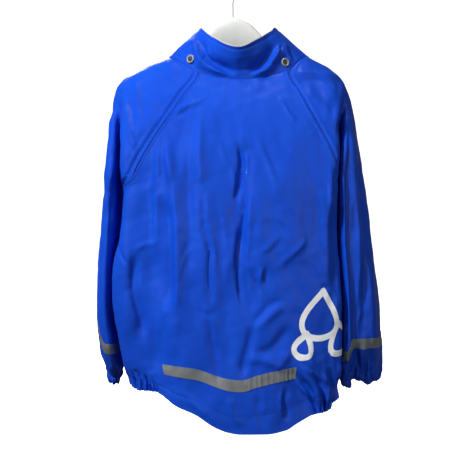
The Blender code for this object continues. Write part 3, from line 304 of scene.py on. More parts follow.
# Steps between the back's columns at its hem, from the left side seam: (distance, step from here on).
BACK_COLUMNS = ((0.0, 1.5), (54.0, 0.8), (116.0, 2.9), (324.0, 0.85), (394.0, 1.5), (454.0, 0.0))
# Seed and wavelength of the cloth's soft waves, its short waves and its dents.
BODY_WAVES = ((7, 46.0), (21, 17.0), (33, 24.0))
ARM_WAVES = ((40, 38.0), (60, 15.0), (70, 26.0))
CUFF_PLEATS = 40
CUFF_GATHER = 1.5  # height of the cuffs' pleats
# How far up its elastic draws a cuff in, and by what share.
CUFF_DRAW = {LEFT: (26.0, 0.36), RIGHT: (14.0, 0.08)}
CUFF_TURN = (7.0, 0.16)  # the gathered edge of a cuff turns in over this length, by this share
# Grooves along a felled seam: distance from the seam, depth and width.
FELLED_GROOVES = ((0.4, 1.5, 1.2), (SEAM_STITCHES[0], 0.45, 0.8), (SEAM_STITCHES[1], 1.0, 1.0))
# Sharp creases across the back's strip: x and height.
TAPE_CREASES = (
    (22, 0.9), (30, 0.7), (37, 1.0), (46, 0.8), (54, 0.6), (63, 0.5), (74, 0.9), (80, 0.8),
    (-40, 0.35), (-70, 0.3),
)
# How far the collar's back leans out, from its free edge to its foot, and how wide that is in turns.
COLLAR_LEAN = ((0.0, 4.5), (0.35, 2.5), (0.72, -2.5), (1.0, 0.0))
COLLAR_LEAN_WIDTH = 0.13
# The cut of each piece of cloth: its width, its length and its share of that rectangle.
CUTS = {
    "back": (468, 545, 0.82),
    "front": (232, 470, 0.88),
    "sleeve": (330, 505, 0.8),
    "collar": (405, 66, 0.9),
    "flap": (42, 500, 1.0),
}
# Printed raindrops: place across the back and row of the middle, height, lean in degrees.
DROPS_PRINTED = ((118, 506, 62, 10), (150, 542, 44, -12), (92, 541, 30, 24))
PRINT_LIFT = 0.16

# ---------------------------------------------------------------- sizes of the trims and the hanger
# Solids turned about an axis: (radius, height) from the axis to the axis.
SNAP_CAP = (
    (0, -1.4), (5.4, -1.4), (6.1, -1.2), (6.3, -0.5), (6.1, 0.1), (5.4, 0.6), (4.0, 1.1), (2.0, 1.4),
    (0, 1.5),
)
SNAP_RING = (
    (0, -1.0), (5.8, -1.0), (6.3, -0.6), (6.45, 0.0), (6.3, 0.7), (5.8, 1.15), (5.1, 1.3), (4.3, 1.2),
    (3.9, 0.9), (3.6, 0.3), (3.5, -0.5), (0, -0.6),
)
SNAP_WELL = ((0, -0.7), (3.45, -0.7), (3.45, -0.35), (2.4, -0.25), (2.1, -0.1), (0, -0.05))
SNAP_SEAT = 0.9  # a snap's middle stands this far off the cloth
SPRING_RADIUS = 0.3
# The hanger by distance from its middle: how far down its top edge is, its height and half its thickness.
HANGER_TOP = (
    (0, 75.2), (6, 76), (11, 77.8), (19, 81), (26, 84.8), (34, 92.5), (42, 101.5), (50, 111), (58, 119.5),
    (72, 129), (90, 136), (108, 142), (126, 150), (142, 158.5), (152, 167), (163, 177),
)
HANGER_HEIGHT = ((0, 46), (26, 40), (42, 28), (58, 18), (90, 14), (163, 11))
HANGER_DEPTH = ((0, 9), (26, 8), (42, 7), (90, 6), (163, 4.4))
HANGER_ENDS = (-162, 158)
HANGER_MIDDLE = -1
HOOK_PATH = (
    (-2.6, -77), (-2.6, -68), (-2.6, -60), (-2.6, -52), (-0.5, -46), (7, -40.5), (16, -34), (21, -25),
    (21.3, -14), (16, -5), (8, 0.6), (0, 2.05), (-8, 0.6), (-16, -5), (-21.3, -14), (-21.4, -23),
    (-19.6, -30),
)
HOOK_RADIUS = 1.95

# ---------------------------------------------------------------- sizes of the studio, in metres
VIEW_MIDDLE = (-0.006, 0.0, -0.393)
VIEW_WIDTH = 0.69  # at the coat, from this far away
VIEW_DISTANCE = 1.3
SENSOR = 36  # mm
WORLD_STRENGTH = 0.1
# Softboxes: place, size, the setting that has their power and their share of it, and colour.
LIGHTS = (
    ("key", (-1.1, -1.05, 0.8), 0.3, "key_power", 1.0, "FFFDF8"),
    ("fill", (1.1, -1.5, -0.1), 0.9, "fill_power", 1.0, "F4F8FF"),
    ("top", (0.1, -0.45, 1.3), 0.5, "key_power", 0.08, "FFFFFF"),
    ("sheen_side", (-0.9, -1.6, 0.3), 1.1, "sheen_power", 1.0, "FFFFFF"),
    ("sheen_high", (0.2, -1.4, 1.5), 1.3, "sheen_power", 0.4, "FFFFFF"),
    ("rear", (-0.4, 1.8, 0.7), 1.0, "key_power", 0.8, "FFFFFF"),
)
FLOOR, FLOOR_RADIUS, SWEEP = -0.72, 2.2, 0.9  # a round floor whose edge sweeps up
BOWL_TOP = ((3.1, 3.4), (2.6, 4.2), (0.0, 4.6))
BOWL_SIDES = 48


# ---------------------------------------------------------------- curves
def hermite(t, left, right, leaving, arriving):
    """Cubic from left to right. Leaving and arriving are its slopes times its length."""
    return (
        left * (1 + 2 * t) * (1 - t) ** 2
        + right * t * t * (3 - 2 * t)
        + leaving * t * (1 - t) ** 2
        - arriving * t * t * (1 - t)
    )


def follow(at, known, values):
    """Monotone cubic through values at the rising numbers known. Values may be rows of an array."""
    at = np.clip(np.asarray(at, float), known[0], known[-1])
    values = np.asarray(values, float)
    flat = values.reshape(len(known), -1)
    step = np.diff(known)[:, None]
    rise = np.diff(flat, axis=0) / step
    slope = np.zeros_like(flat)
    same = rise[1:] * rise[:-1] > 0
    total = np.where(same, rise[1:] + rise[:-1], 1.0)
    slope[1:-1] = np.where(same, 2 * rise[1:] * rise[:-1] / total, 0.0)
    slope[0], slope[-1] = rise[0], rise[-1]
    i = np.clip(np.searchsorted(known, at, side="right") - 1, 0, len(known) - 2)
    t = ((at - known[i]) / np.diff(known)[i])[..., None]
    span = step[i]
    result = hermite(t, flat[i], flat[i + 1], slope[i] * span, slope[i + 1] * span)
    return result.reshape(at.shape + values.shape[1:])


def column(rows, name, at, key="drop"):
    return follow(at, rows[key], rows[name])


def ease(x):
    x = np.clip(x, 0.0, 1.0)
    return x * x * (3 - 2 * x)


def spline(points, steps, closed=False):
    """Catmull-Rom curve through points, with that many steps for each stretch."""
    p = np.asarray(points, float)
    if closed:
        before, after, stretch = np.roll(p, 1, 0), np.roll(p, -1, 0), len(p)
    else:
        before = np.vstack([2 * p[0] - p[1], p[:-1]])
        after = np.vstack([p[1:], 2 * p[-1] - p[-2]])
        stretch = len(p) - 1
    gap_before = np.linalg.norm(p - before, axis=1)[:, None] + 1e-9
    gap_after = np.linalg.norm(after - p, axis=1)[:, None] + 1e-9
    slope = (p - before) / gap_before * gap_after + (after - p) / gap_after * gap_before
    slope /= gap_before + gap_after
    t = (np.arange(steps) / steps)[:, None]
    out = []
    for i in range(stretch):
        j = (i + 1) % len(p)
        out.append(hermite(t, p[i], p[j], slope[i] * gap_after[i], slope[j] * gap_after[i]))
    out.append(p[:1] if closed else p[-1:])
    return np.vstack(out)


def lengths(line):
    return np.concatenate([[0.0], np.cumsum(np.linalg.norm(np.diff(line, axis=0), axis=1))])


def pick(line, along, at):
    return np.stack([np.interp(at, along, line[:, k]) for k in range(line.shape[1])], axis=1)


def blend(grid, i, j):
    """Values of a grid at columns i and rows j, which may lie between its own."""
    i0, j0 = i.astype(int), j.astype(int)
    fi, fj = (i - i0)[..., None], (j - j0)[..., None]
    upper = grid[j0, i0] * (1 - fi) + grid[j0, i0 + 1] * fi
    lower = grid[j0 + 1, i0] * (1 - fi) + grid[j0 + 1, i0 + 1] * fi
    return upper * (1 - fj) + lower * fj


def where_in(at, known):
    """Where each number lies among the rising numbers known, as a fraction of steps."""
    return np.clip(np.interp(at, known, np.arange(len(known))), 0, len(known) - 1.001)


def unit(vectors):
    """The same directions at length 1."""
    return vectors / np.maximum(np.linalg.norm(vectors, axis=-1), 1e-9)[..., None]


def circle(count, radius):
    turn = np.arange(count) * 2 * math.pi / count
    return radius * np.column_stack([np.cos(turn), np.sin(turn)])


def fold_height(folds, x, drop, scale=1.0):
    """Height of all the ridges and troughs at each place. Scale turns x into millimetres."""
    total = np.zeros(np.broadcast(x, drop).shape)
    for x0, d0, x1, d1, width, height in zip(*folds.values()):
        along = np.clip((drop - d0) / (d1 - d0), -0.25, 1.25)
        line = x0 + (x1 - x0) * along
        across = (x - line) * scale / width
        ends = ease((along + 0.12) / 0.3) * ease((1.12 - along) / 0.3)
        total = total + height * ends * np.exp(-(across**2))
    return total


# ---------------------------------------------------------------- the coat's outline at one level
STEPS = 10  # of the spline between two points of an outline
LOBE_WIDTH = 5.0  # half the width of an arm's ridge near its top
TO_EDGE = 6 * STEPS  # from the cleft to the arm's outer edge
BACK_SHARES = (0.0, 0.3, 0.58, 0.82)  # points across the back, as shares of the way to the rim
BACK_ROUND = 2.4  # how square the back is; 2 is a parabola
RIM = len(BACK_SHARES)  # the rim's place among the points of the body's back
WALL_OUT = 0.8  # the cleft's wall bulges out by this much


class Level:
    """The outline of one side at one drop, from the middle of the back to the middle of the front."""

    def __init__(self, side, drop):
        self.side, self.drop = side, drop
        get = lambda name: float(column(SIDES[side], name, drop))
        arm = lambda name: float(column(ARMS[side], name, drop))
        self.split = drop >= UNDERARM[side]
        depth = float(column(FULLNESS, "depth", drop))
        rim = np.array([get("rim_out"), get("rim_back")])
        cleft = np.array([get("cleft_out"), get("cleft_back")])
        closed = math.sqrt(np.clip((UNDERARM[side] - drop) / CROTCH, 0.0, 1.0))
        cleft[1] = -MIDDLE_Y + (cleft[1] + MIDDLE_Y) * closed
        middle_out = CENTRE_X * side
        across = []
        for share in BACK_SHARES:
            out = middle_out + (rim[0] - middle_out) * share
            across.append([out, rim[1] + (depth - rim[1]) * (1 - share**BACK_ROUND)])
        self.body_back = np.array([*across, rim, 0.5 * (rim + cleft) + (WALL_OUT, 0.0)])
        self.cleft = cleft
        edge, inner = get("edge_out"), arm("inner_out")
        self.edge = np.array([edge, -MIDDLE_Y])
        self.inner = np.array([inner, -MIDDLE_Y])
        ridge = np.array([get("ridge_out"), get("ridge_back")])
        far = np.array([arm("far_out"), -arm("far_front")])
        self.arm_back = self.lobe(1, ridge, cleft, inner, edge, 0.0)
        self.arm_front = self.lobe(-1, far, self.mirror(cleft), inner, edge, MIDDLE_Y)[::-1]
        self.lines()

    @staticmethod
    def lobe(way, ridge, cleft, inner, edge, middle):
        """Points over an arm's ridge from the cleft's wall to the outside, rounded where it stands up."""
        wall = np.array([0.45 * ridge[0] + 0.55 * max(inner, cleft[0]), 0.5 * (ridge[1] + cleft[1])])
        shoulder = np.array([0.35 * ridge[0] + 0.65 * edge, 0.62 * ridge[1] - 0.38 * middle])
        width = min(0.36 * (shoulder[0] - wall[0]), LOBE_WIDTH)
        round_off = 0.5 * width * np.sign(ridge[1])
        share = float(ease(way * (ridge[1] - cleft[1]) / 12))
        flanks = []
        for flank, outward_way in ((wall, -1), (shoulder, 1)):
            straight = 0.4 * flank + 0.6 * ridge
            rounded = ridge + np.array([outward_way * width, -round_off])
            flanks.append(straight * (1 - share) + rounded * share)
        return np.array([wall, flanks[0], ridge, flanks[1], shoulder])

    @staticmethod
    def mirror(points):
        """The front's points from the back's."""
        points = np.array(points, float)
        points[..., 1] = -MIDDLE_Y - FRONT_SHARE * (points[..., 1] + MIDDLE_Y)
        return points

    def placed(self, line):
        """From outward and backward to x and y."""
        return np.stack([line[:, 0] * self.side, -line[:, 1]], axis=1)

    def lines(self):
        front = self.mirror(self.body_back[::-1])
        if self.split:
            body = spline([*self.body_back, self.cleft, *front], STEPS)
            arm = spline([self.inner, *self.arm_back, self.edge, *self.arm_front], STEPS, closed=True)
            self.body, self.arm = self.placed(body), self.placed(arm)
            self.cleft_index = len(self.body_back) * STEPS
            self.shape(self.body, np.arange(len(body)) <= self.cleft_index, None)
            self.shape(self.arm, None, np.linspace(0, 1, len(arm)))
        else:
            points = [*self.body_back, self.cleft, *self.arm_back, self.edge, *self.arm_front]
            points += [self.mirror(self.cleft), *front]
            self.body = self.placed(spline(points, STEPS))
            self.arm = None
            start = self.cleft_index = len(self.body_back) * STEPS
            stop = self.front_cleft_index = start + 2 * TO_EDGE
            turn = np.clip((np.arange(len(self.body)) - start) / (stop - start), 0, 1)
            self.shape(self.body, np.arange(len(self.body)) <= (start + stop) / 2, turn)
        self.along = lengths(self.body)
        if self.arm is not None:
            self.arm_along = lengths(self.arm)

    def shape(self, line, on_back, turn):
        """Raises the large folds on an outline, in place."""
        step = np.gradient(line, axis=0)
        normal = np.stack([step[:, 1], -step[:, 0]], axis=1) * self.side
        normal /= np.linalg.norm(normal, axis=1)[:, None] + 1e-12
        height = np.zeros(len(line))
        if on_back is not None:
            x = line[:, 0]
            rim = abs(self.body_back[RIM][0]) - 4
            inside = ease((rim + 6 - np.abs(x)) / 12)
            index = np.arange(len(line))
            last = len(line) - 1 - self.cleft_index
            body = ease((self.cleft_index - 8 - index) / 6) + ease((index - last - 8) / 6)
            back = fold_height(BACK_FOLDS, x, self.drop)
            front = fold_height(FRONT_FOLDS, x, self.drop)
            height += np.where(on_back, back, front) * inside * body
        if turn is not None:
            on_arm = ease(turn * 12) * ease((1 - turn) * 12)
            height += fold_height(ARM_FOLDS[self.side], turn, self.drop, scale=ARM_ROUND) * on_arm
        line += normal * height[:, None]

    # Places along the outline, as lengths from the middle of the back.
    def cleft_at(self, face):
        if face == BACK or self.split:
            return self.along[self.cleft_index]
        return self.along[self.front_cleft_index]

    def seam_at(self, face):
        """Where the neck, raglan or side seam crosses this level."""
        if self.split:
            return self.along[self.cleft_index]
        out = float(column(SEAMS[self.side], "out", self.drop))
        stop = RIM * STEPS + 1
        outward = np.abs(self.body[:, 0])
        if face == BACK:
            out = min(out, outward[stop - 1] - 0.5)
            at = np.interp(out, outward[:stop], self.along[:stop])
        else:
            first = len(self.body) - stop
            out = min(out, outward[first] - 0.5)
            at = np.interp(-out, -outward[first:], self.along[first:])
        start, stop = SEAM_TURN[self.side]
        turn = ease((self.drop - start) / (stop - start))
        return at + (self.cleft_at(face) - at) * turn


LEVELS = {}


def level(side, drop):
    key = (side, round(float(drop), 4))
    if key not in LEVELS:
        LEVELS[key] = Level(side, float(drop))
    return LEVELS[key]


# ---------------------------------------------------------------- the coat's cloth
SEAM_ROWS = (
    RAGLAN_TOP, 176, 194, 212, 228, 246, 264, 284, 294, 301,
    308, 316, 322, 327, 333, 339, 344, 349, 356,
)
NEAR_UNDERARM = np.append(np.arange(-32, 0, 1.5), (-0.01, 0))
DROPS = np.unique(np.concatenate([
    np.arange(130, 706, 4.0), SEAM_ROWS, *(NEAR_UNDERARM + end for end in UNDERARM.values()),
]))
EXTRA = 0.03  # the cloth is also worked out this far past each seam
SHARES = np.linspace(-EXTRA, 1 + EXTRA, 407)


def body_line(face, drop, shares):
    """x, y and the distance across at shares of the way between side seams, left to right from outside."""
    left, right = level(LEFT, drop), level(RIGHT, drop)
    if face == BACK:
        start, stop = -left.seam_at(BACK), right.seam_at(BACK)
        line = np.vstack([left.body[::-1], right.body[1:]])
        along = np.concatenate([-left.along[::-1], right.along[1:]])
    else:
        start = right.seam_at(FRONT) - right.along[-1]
        stop = left.along[-1] - left.seam_at(FRONT)
        line = np.vstack([right.body, left.body[::-1][1:]])
        along = np.concatenate([right.along - right.along[-1], (left.along[-1] - left.along)[::-1][1:]])
    at = start + (stop - start) * shares
    return np.column_stack([pick(line, along, at), at])


def arm_line(side, drop, shares):
    """The same round a sleeve, from one of its seams to the other."""
    here = level(side, drop)
    shares = shares if side == RIGHT else 1 - shares
    if here.split:
        whole = here.arm_along[-1]
        at = whole * shares
        return np.column_stack([pick(here.arm, here.arm_along, at % whole), at])
    at = here.seam_at(BACK) + (here.seam_at(FRONT) - here.seam_at(BACK)) * shares
    return np.column_stack([pick(here.body, here.along, at), at])


class Cloth:
    """One piece of the coat, worked out on a fine grid of levels and shares of its width."""

    def __init__(self, line, drop_of):
        self.grid = np.array([line(drop, SHARES) for drop in DROPS])
        self.drop_of = drop_of

    def read(self, shares, drops):
        """x, y and the distance across at shares of the width and drops before any bending."""
        i = (shares + EXTRA) / (1 + 2 * EXTRA) * (len(SHARES) - 1)
        return blend(self.grid, np.clip(i, 0, len(SHARES) - 1.001), where_in(drops, DROPS))

    def ends(self, row):
        """Distances across at the two seams."""
        return self.read(np.array([0.0, 1.0]), np.full(2, float(row)))[:, 2]

    def share(self, row, places):
        """Shares of the width for distances across."""
        first, last = self.ends(row)
        return (np.asarray(places, float) - first) / (last - first)

    def shaped(self, shares, row):
        """Points on the outside, before creases and gathers."""
        shares, row = np.broadcast_arrays(np.asarray(shares, float), np.asarray(row, float))
        drops = self.drop_of(self.read(shares, row), row)
        here = self.read(shares, drops)
        return np.stack([here[..., 0], here[..., 1], -drops], axis=-1)


def hump(at):
    """1 at 0, falling to 0 at -1 and 1."""
    return np.cos(np.clip(at, -1, 1) * math.pi / 2)


def neck_sag(face, x, power):
    """The drop of a face's neck seam."""
    tops = {side: list(SEAMS[side]["drop"]).index(RAGLAN_TOP) for side in (LEFT, RIGHT)}
    reach = {side: SEAMS[side]["out"][top] for side, top in tops.items()}
    width = np.where(x < CENTRE_X, reach[LEFT] + CENTRE_X, reach[RIGHT] - CENTRE_X)
    return RAGLAN_TOP + NECK_SAG[face] * hump((x - CENTRE_X) / width) ** power


def back_drop(here, row):
    """The real drop of a row across the back."""
    across = here[..., 2] + CENTRE_X
    drops = [neck_sag(BACK, here[..., 0], 1.3), *BACK_LEVEL]
    drops += [follow(across, edge["across"], edge["drop"]) for edge in (STRIP_TOP, STRIP_LOW, HEM)]
    return between(row, [RAGLAN_TOP, *BACK_LEVEL, *STRIP_LEVELS, SIDE_END], drops)


def front_drop(here, row):
    x = here[..., 0]
    # The front on the wearer's right hangs lower, and both sag in the middle.
    hem = SIDE_END + 13 * ease(x / 40 + 0.5) + FRONT_HEM_SAG * hump((x - CENTRE_X) / 150)
    drops = [neck_sag(FRONT, x, 1.2), *FRONT_LEVEL, hem]
    return between(row, [RAGLAN_TOP, *FRONT_LEVEL, SIDE_END], drops)


def arm_drop(side):
    top, low = ARM_STRIP[side]
    end, pleat = CUFF_END[side], PLEAT[side]

    def drop_of(here, row):
        # From the front of the sleeve, -1, to its back, 1.
        near = np.clip((MIDDLE_Y + 8 - here[..., 1]) / 32.0, -1, 1)
        beyond = ease((side * here[..., 0] - pleat["out"]) / pleat["width"] + 0.5)
        move = near * ARM_STRIP_TILT[side] - beyond * pleat["strip"]
        cuff = end + near * CUFF_TILT[side] - beyond * pleat["cuff"]
        return between(row, [*ARM_LEVEL, top, low, end], [*ARM_LEVEL, top + move, low + move, cuff])

    return drop_of


def between(row, keys, drops):
    """Real drops for a row, whose name is a number among keys, from the real drops at those keys."""
    total = np.zeros(np.shape(row))
    last = len(keys) - 2
    for k in range(last + 1):
        share = (row - keys[k]) / (keys[k + 1] - keys[k])
        here = ((share >= 0) | (k == 0)) & ((share < 1) | (k == last))
        total = np.where(here, drops[k] + (drops[k + 1] - drops[k]) * share, total)
    return total


class Sleeve(Cloth):
    """A sleeve, drawn in by elastic at the cuff."""

    def __init__(self, side):
        super().__init__(lambda drop, shares: arm_line(side, drop, shares), arm_drop(side))
        self.side = side

    def shaped(self, shares, row):
        points = super().shaped(shares, row)
        low = level(self.side, CUFF_LEVEL)
        depths = low.arm[:, 1]
        middle_x = 0.5 * (low.inner[0] + low.edge[0]) * self.side
        middle = np.array([middle_x, 0.5 * (depths.min() + depths.max()), 0.0])
        start, length = CUFF_END[self.side] - CUFF_PULL[0], CUFF_PULL[1]
        pull = ease((np.broadcast_to(row, points.shape[:-1]) - start) / length)[..., None]
        offset = (points - middle) * (1 - (1 - np.array([*CUFF_SHRINK, 1.0])) * pull)
        return np.concatenate([(middle + offset)[..., :2], points[..., 2:]], axis=-1)


class Collar:
    """The stand collar, over turns from 0 to 1 that start at the middle of the front and go by the
    wearer's left, and shares of its height from 0 at the neck seam to 1 at its free edge."""

    def __init__(self, back, front, sleeves):
        whole, half = np.linspace(0, 1, 40), np.linspace(0, 0.5, 8)
        runs = []
        for first, sleeve, second in ((front, sleeves[LEFT], back), (back, sleeves[RIGHT], front)):
            top = SIDES[sleeve.side]["drop"][0] + ARM_TOP
            down = np.linspace(top, RAGLAN_TOP, 12)
            middle = first.share(RAGLAN_TOP, 0.0)
            across = middle + (1 - middle) * whole
            runs.append([(first, across, RAGLAN_TOP), (sleeve, 0.0, down[::-1]), (sleeve, half, top)])
            across = second.share(RAGLAN_TOP, 0.0) * whole
            runs.append([(sleeve, 0.5 + half, top), (sleeve, 1.0, down), (second, across, RAGLAN_TOP)])
        lines = [np.vstack([cloth.shaped(shares, row) for cloth, shares, row in run]) for run in runs]
        lines = [np.vstack([line, then[:1]]) for line, then in zip(lines, lines[1:] + lines[:1])]
        self.length = sum(lengths(line)[-1] for line in lines)
        even = np.linspace(0, 1, NECK_STEPS + 1)[:-1]
        self.neck = np.vstack([pick(line, lengths(line), even * lengths(line)[-1]) for line in lines])
        self.neck = np.vstack([self.neck, self.neck[:1]])
        free = np.column_stack([COLLAR_EDGE["x"], COLLAR_EDGE["y"], -COLLAR_EDGE["drop"]])
        self.edge = spline(free[:-1], EDGE_STEPS, closed=True)
        at = np.arange(len(self.edge)) / EDGE_STEPS
        self.edge_turns = np.interp(at, np.arange(len(free)), COLLAR_EDGE["turn"])

    def shaped(self, turn, height):
        turn, height = np.broadcast_arrays(np.asarray(turn, float) % 1.0, np.asarray(height, float))
        low = pick(self.neck, np.linspace(0, 1, len(self.neck)), turn.ravel()).reshape(turn.shape + (3,))
        top = pick(self.edge, self.edge_turns, turn.ravel()).reshape(turn.shape + (3,))
        out = low - np.array([CENTRE_X, 0.0, 0.0])
        out[..., 2] = 0
        out = unit(out)
        share = height[..., None]
        return low + (top - low) * share + out * COLLAR_BULGE * np.sin(math.pi * np.clip(share, 0, 1))


# ---------------------------------------------------------------- creases
# Each crease: how far it stands out (+) or in (-), how wide its left and right flanks are, and its path
# in x and drop.
BACK_CREASES = (
    (-1.4, 3, 5, (-35, 519), (-31, 552), (-26, 576), (-22, 604)),
    (-0.8, 3, 3, (-49, 505), (-39, 514), (-25, 509)),
    (-1.8, 6, 6, (25, 531), (19, 562), (11, 597)),
    (-1.2, 4, 4, (28, 524), (47, 500), (68, 491)),
    (1.3, 4, 5, (32, 531), (48, 515), (66, 498)),
    (-1.6, 6, 8, (32, 569), (55, 558), (75, 531)),
    (1.5, 6, 5, (18, 576), (39, 574), (63, 584), (76, 567)),
    (0.9, 5, 4, (100, 409), (81, 428), (61, 443)),
    (1.5, 4, 3, (138, 302), (136, 336), (136, 365)),
    (-2.0, 9, 8, (144, 365), (145, 434), (146, 482)),
    (2.2, 5, 4, (125, 652), (116, 617), (100, 592), (91, 581)),
    (-1.8, 4, 4, (130, 653), (125, 618), (111, 593)),
    (2.0, 4, 4, (136, 653), (134, 619), (125, 596)),
    (-1.6, 4, 4, (140, 654), (142, 620), (137, 594)),
    (1.8, 4, 4, (144, 649), (150, 620), (152, 585)),
    (1.6, 4, 4, (114, 651), (100, 623), (83, 601)),
    (-1.5, 4, 4, (120, 654), (108, 624), (93, 601)),
    (-1.4, 4, 5, (72, 617), (69, 634), (76, 658)),
    (1.3, 4, 3, (67, 617), (64, 638), (67, 653)),
    (1.2, 7, 6, (-63, 629), (-49, 643), (-39, 654)),
    (1.0, 5, 5, (-6, 628), (-1, 652), (8, 666)),
    (-1.0, 5, 5, (32, 628), (35, 647), (42, 666)),
    (1.8, 5, 4, (-146, 174), (-140, 201), (-140, 237), (-137, 260)),
    (1.6, 5, 4, (-161, 206), (-148, 252), (-142, 283)),
    (-1.6, 4, 4, (-152, 206), (-144, 232), (-140, 253)),
    (0.9, 3, 3, (-122, 205), (-98, 219)),
    (-0.8, 3, 3, (-122, 212), (-100, 226)),
    (0.9, 3, 3, (-83, 222), (-65, 213), (-48, 208)),
    (-0.7, 3, 3, (-81, 229), (-64, 221)),
    (1.3, 4, 4, (91, 164), (125, 163), (152, 165)),
    (-1.0, 4, 4, (96, 173), (124, 174), (144, 180)),
    (1.4, 9, 8, (103, 186), (127, 216), (140, 240)),
    (1.8, 5, 4, (161, 176), (152, 214), (144, 245)),
    (-1.5, 4, 4, (166, 181), (159, 219), (149, 255)),
    (0.8, 3, 3, (63, 204), (77, 219)),
    (0.8, 3, 3, (73, 219), (87, 236)),
    (0.7, 3, 3, (106, 253), (120, 260)),
    (0.7, 3, 3, (102, 241), (117, 249)),
    (1.7, 4, 4, (-178, 301), (-184, 355), (-188, 434), (-188, 532)),
    (-1.6, 4, 4, (-172, 306), (-177, 365), (-181, 444), (-180, 532)),
    (1.8, 5, 5, (173, 251), (176, 321), (179, 385), (181, 444), (176, 503)),
    (-2.0, 5, 5, (185, 296), (189, 365), (191, 444), (190, 513)),
    (1.5, 5, 5, (200, 365), (201, 434), (204, 522)),
    (-1.5, 5, 4, (162, 296), (163, 385), (161, 483)),
    (1.5, 4, 4, (181, 513), (174, 547), (174, 582)),
    (-2.6, 4, 5, (172, 463), (173, 513), (174, 562), (178, 619)),
    (1.4, 3, 3, (187, 582), (185, 613)),
    (-1.3, 3, 3, (192, 582), (191, 613)),
    (1.4, 3, 3, (198, 584), (197, 615)),
    (-1.3, 3, 3, (203, 582), (203, 617)),
    (-0.9, 6, 10, (-106, 269), (-100, 304), (-96, 330)),
    (-3.2, 8, 9, (-97, 356), (-93, 393), (-93, 443), (-93, 497)),
    (1.5, 5, 6, (-108, 269), (-108, 304), (-110, 353), (-111, 420)),
    (1.4, 8, 4.5, (-100, 280), (-90, 320), (-84, 366), (-82, 426), (-81, 500)),
    (0.9, 5, 7, (-49, 227), (-49, 277), (-46, 326)),
    (-1.5, 2.5, 4, (-44, 350), (-42, 390), (-33, 423), (-35, 453), (-33, 492)),
    (0.9, 4, 2.5, (-33, 393), (-28, 420), (-25, 446), (-23, 492)),
    (-2, 2.8, 4.5, (6, 272), (12, 294), (10, 323), (2, 348)),
    (1, 3, 2, (18, 287), (17, 310), (13, 330)),
    (0.8, 3, 3, (-2, 304), (0, 327), (-1, 350)),
    (-2.2, 5, 3, (16, 340), (12, 373), (8, 406), (4, 433), (6, 466), (10, 497)),
    (0.9, 5, 3, (21, 350), (21, 380), (18, 413), (15, 446)),
    (0.8, 2.5, 5, (0, 380), (-1, 413), (-3, 446)),
    (0.9, 4, 6, (36, 267), (53, 310), (63, 337)),
    (0.5, 3, 3, (59, 373), (79, 390)),
    (0.7, 3, 4, (66, 400), (53, 413), (39, 426)),
    (-1.3, 2.5, 2.5, (26, 451), (30, 469), (36, 481)),
    (-1.2, 2.5, 2.5, (46, 448), (44, 463), (43, 474)),
    (0.9, 2.5, 2.5, (18, 439), (23, 456), (26, 476)),
    (0.9, 2.5, 2.5, (39, 446), (36, 466)),
    (0.5, 4, 5, (-37, 254), (-20, 270), (-10, 300)),
    (-1.1, 8, 5, (-65, 294), (-67, 343), (-63, 393), (-65, 443)),
    (0.8, 6, 6, (-14, 353), (-12, 393), (-10, 433), (-12, 479)),
    (0.6, 2.5, 2.5, (-60, 420), (-70, 433), (-74, 449)),
    (-0.8, 2, 2, (-166, 416), (-160, 429), (-153, 442)),
    (0.7, 2.5, 2.5, (-139, 420), (-128, 414), (-111, 412)),
    (-3, 7, 9, (-139, 434), (-143, 477), (-130, 519), (-132, 545)),
    (0.7, 4, 4, (-97, 501), (-106, 532), (-108, 545)),
)
FRONT_CREASES = (
    (2.2, 8, 6, (-100, 250), (-92, 340), (-96, 470), (-104, 560)),
    (-2.4, 8, 8, (-72, 300), (-66, 420), (-70, 540)),
    (2.0, 6, 9, (98, 260), (90, 360), (92, 500)),
    (-2.2, 7, 7, (66, 280), (70, 400), (64, 560)),
    (1.4, 5, 5, (-168, 330), (-176, 480), (-174, 580)),
    (1.4, 5, 5, (180, 330), (186, 470), (188, 590)),
    (-1.6, 5, 5, (-188, 300), (-190, 440), (-184, 560)),
    (-1.6, 5, 5, (160, 320), (168, 450), (170, 580)),
)
CREASES = ((BACK, BACK_CREASES), (FRONT, FRONT_CREASES))
FADE, FADE_MOST = 0.35, 40.0  # a crease dies out over this share of its length, at most so far


def stroke(points, path, left, right):
    """How near each point is to a path on its face, from 0 to 1, dying out past the path's ends."""
    path = np.asarray(path, float)
    run = lengths(path)
    best = np.full(points.shape[:-1], np.inf)
    across, along = np.zeros_like(best), np.zeros_like(best)
    for k, (start, stop) in enumerate(zip(path, path[1:])):
        way = (stop - start) / np.linalg.norm(stop - start)
        offset = points - start
        at = offset @ way
        low = -np.inf if k == 0 else 0.0
        high = np.inf if k == len(path) - 2 else run[k + 1] - run[k]
        gap = np.linalg.norm(offset - np.clip(at, low, high)[..., None] * way, axis=-1)
        side = offset[..., 0] * way[1] - offset[..., 1] * way[0]
        nearer = gap < best
        best = np.where(nearer, gap, best)
        across = np.where(nearer, gap * np.sign(side), across)
        along = np.where(nearer, run[k] + at, along)
    fade = min(FADE * run[-1], FADE_MOST)
    ends = ease((along + 0.4 * fade) / fade) * ease((run[-1] - along + 0.4 * fade) / fade)
    return ends * np.exp(-((across / np.where(across > 0, left, right)) ** 2))


def crease_height(panel, depth, tables=CREASES):
    """Height of the listed creases over a panel, each on the face it belongs to."""
    total = np.zeros(panel.points.shape[:-1])
    at = np.stack([panel.points[..., 0], -panel.points[..., 2]], axis=-1)
    for face, creases in tables:
        facing = ease((panel.normal[..., 1] * face + 0.05) / 0.5)
        for height, left, right, *path in creases:
            reach = 12 + 5 * max(left, right)
            low, high = np.min(path, axis=0) - reach, np.max(path, axis=0) + reach
            near = (facing > 0) & np.all((at > low) & (at < high), axis=-1)
            if near.any():
                total[near] += height * depth * facing[near] * stroke(at[near], path, left, right)
    return total


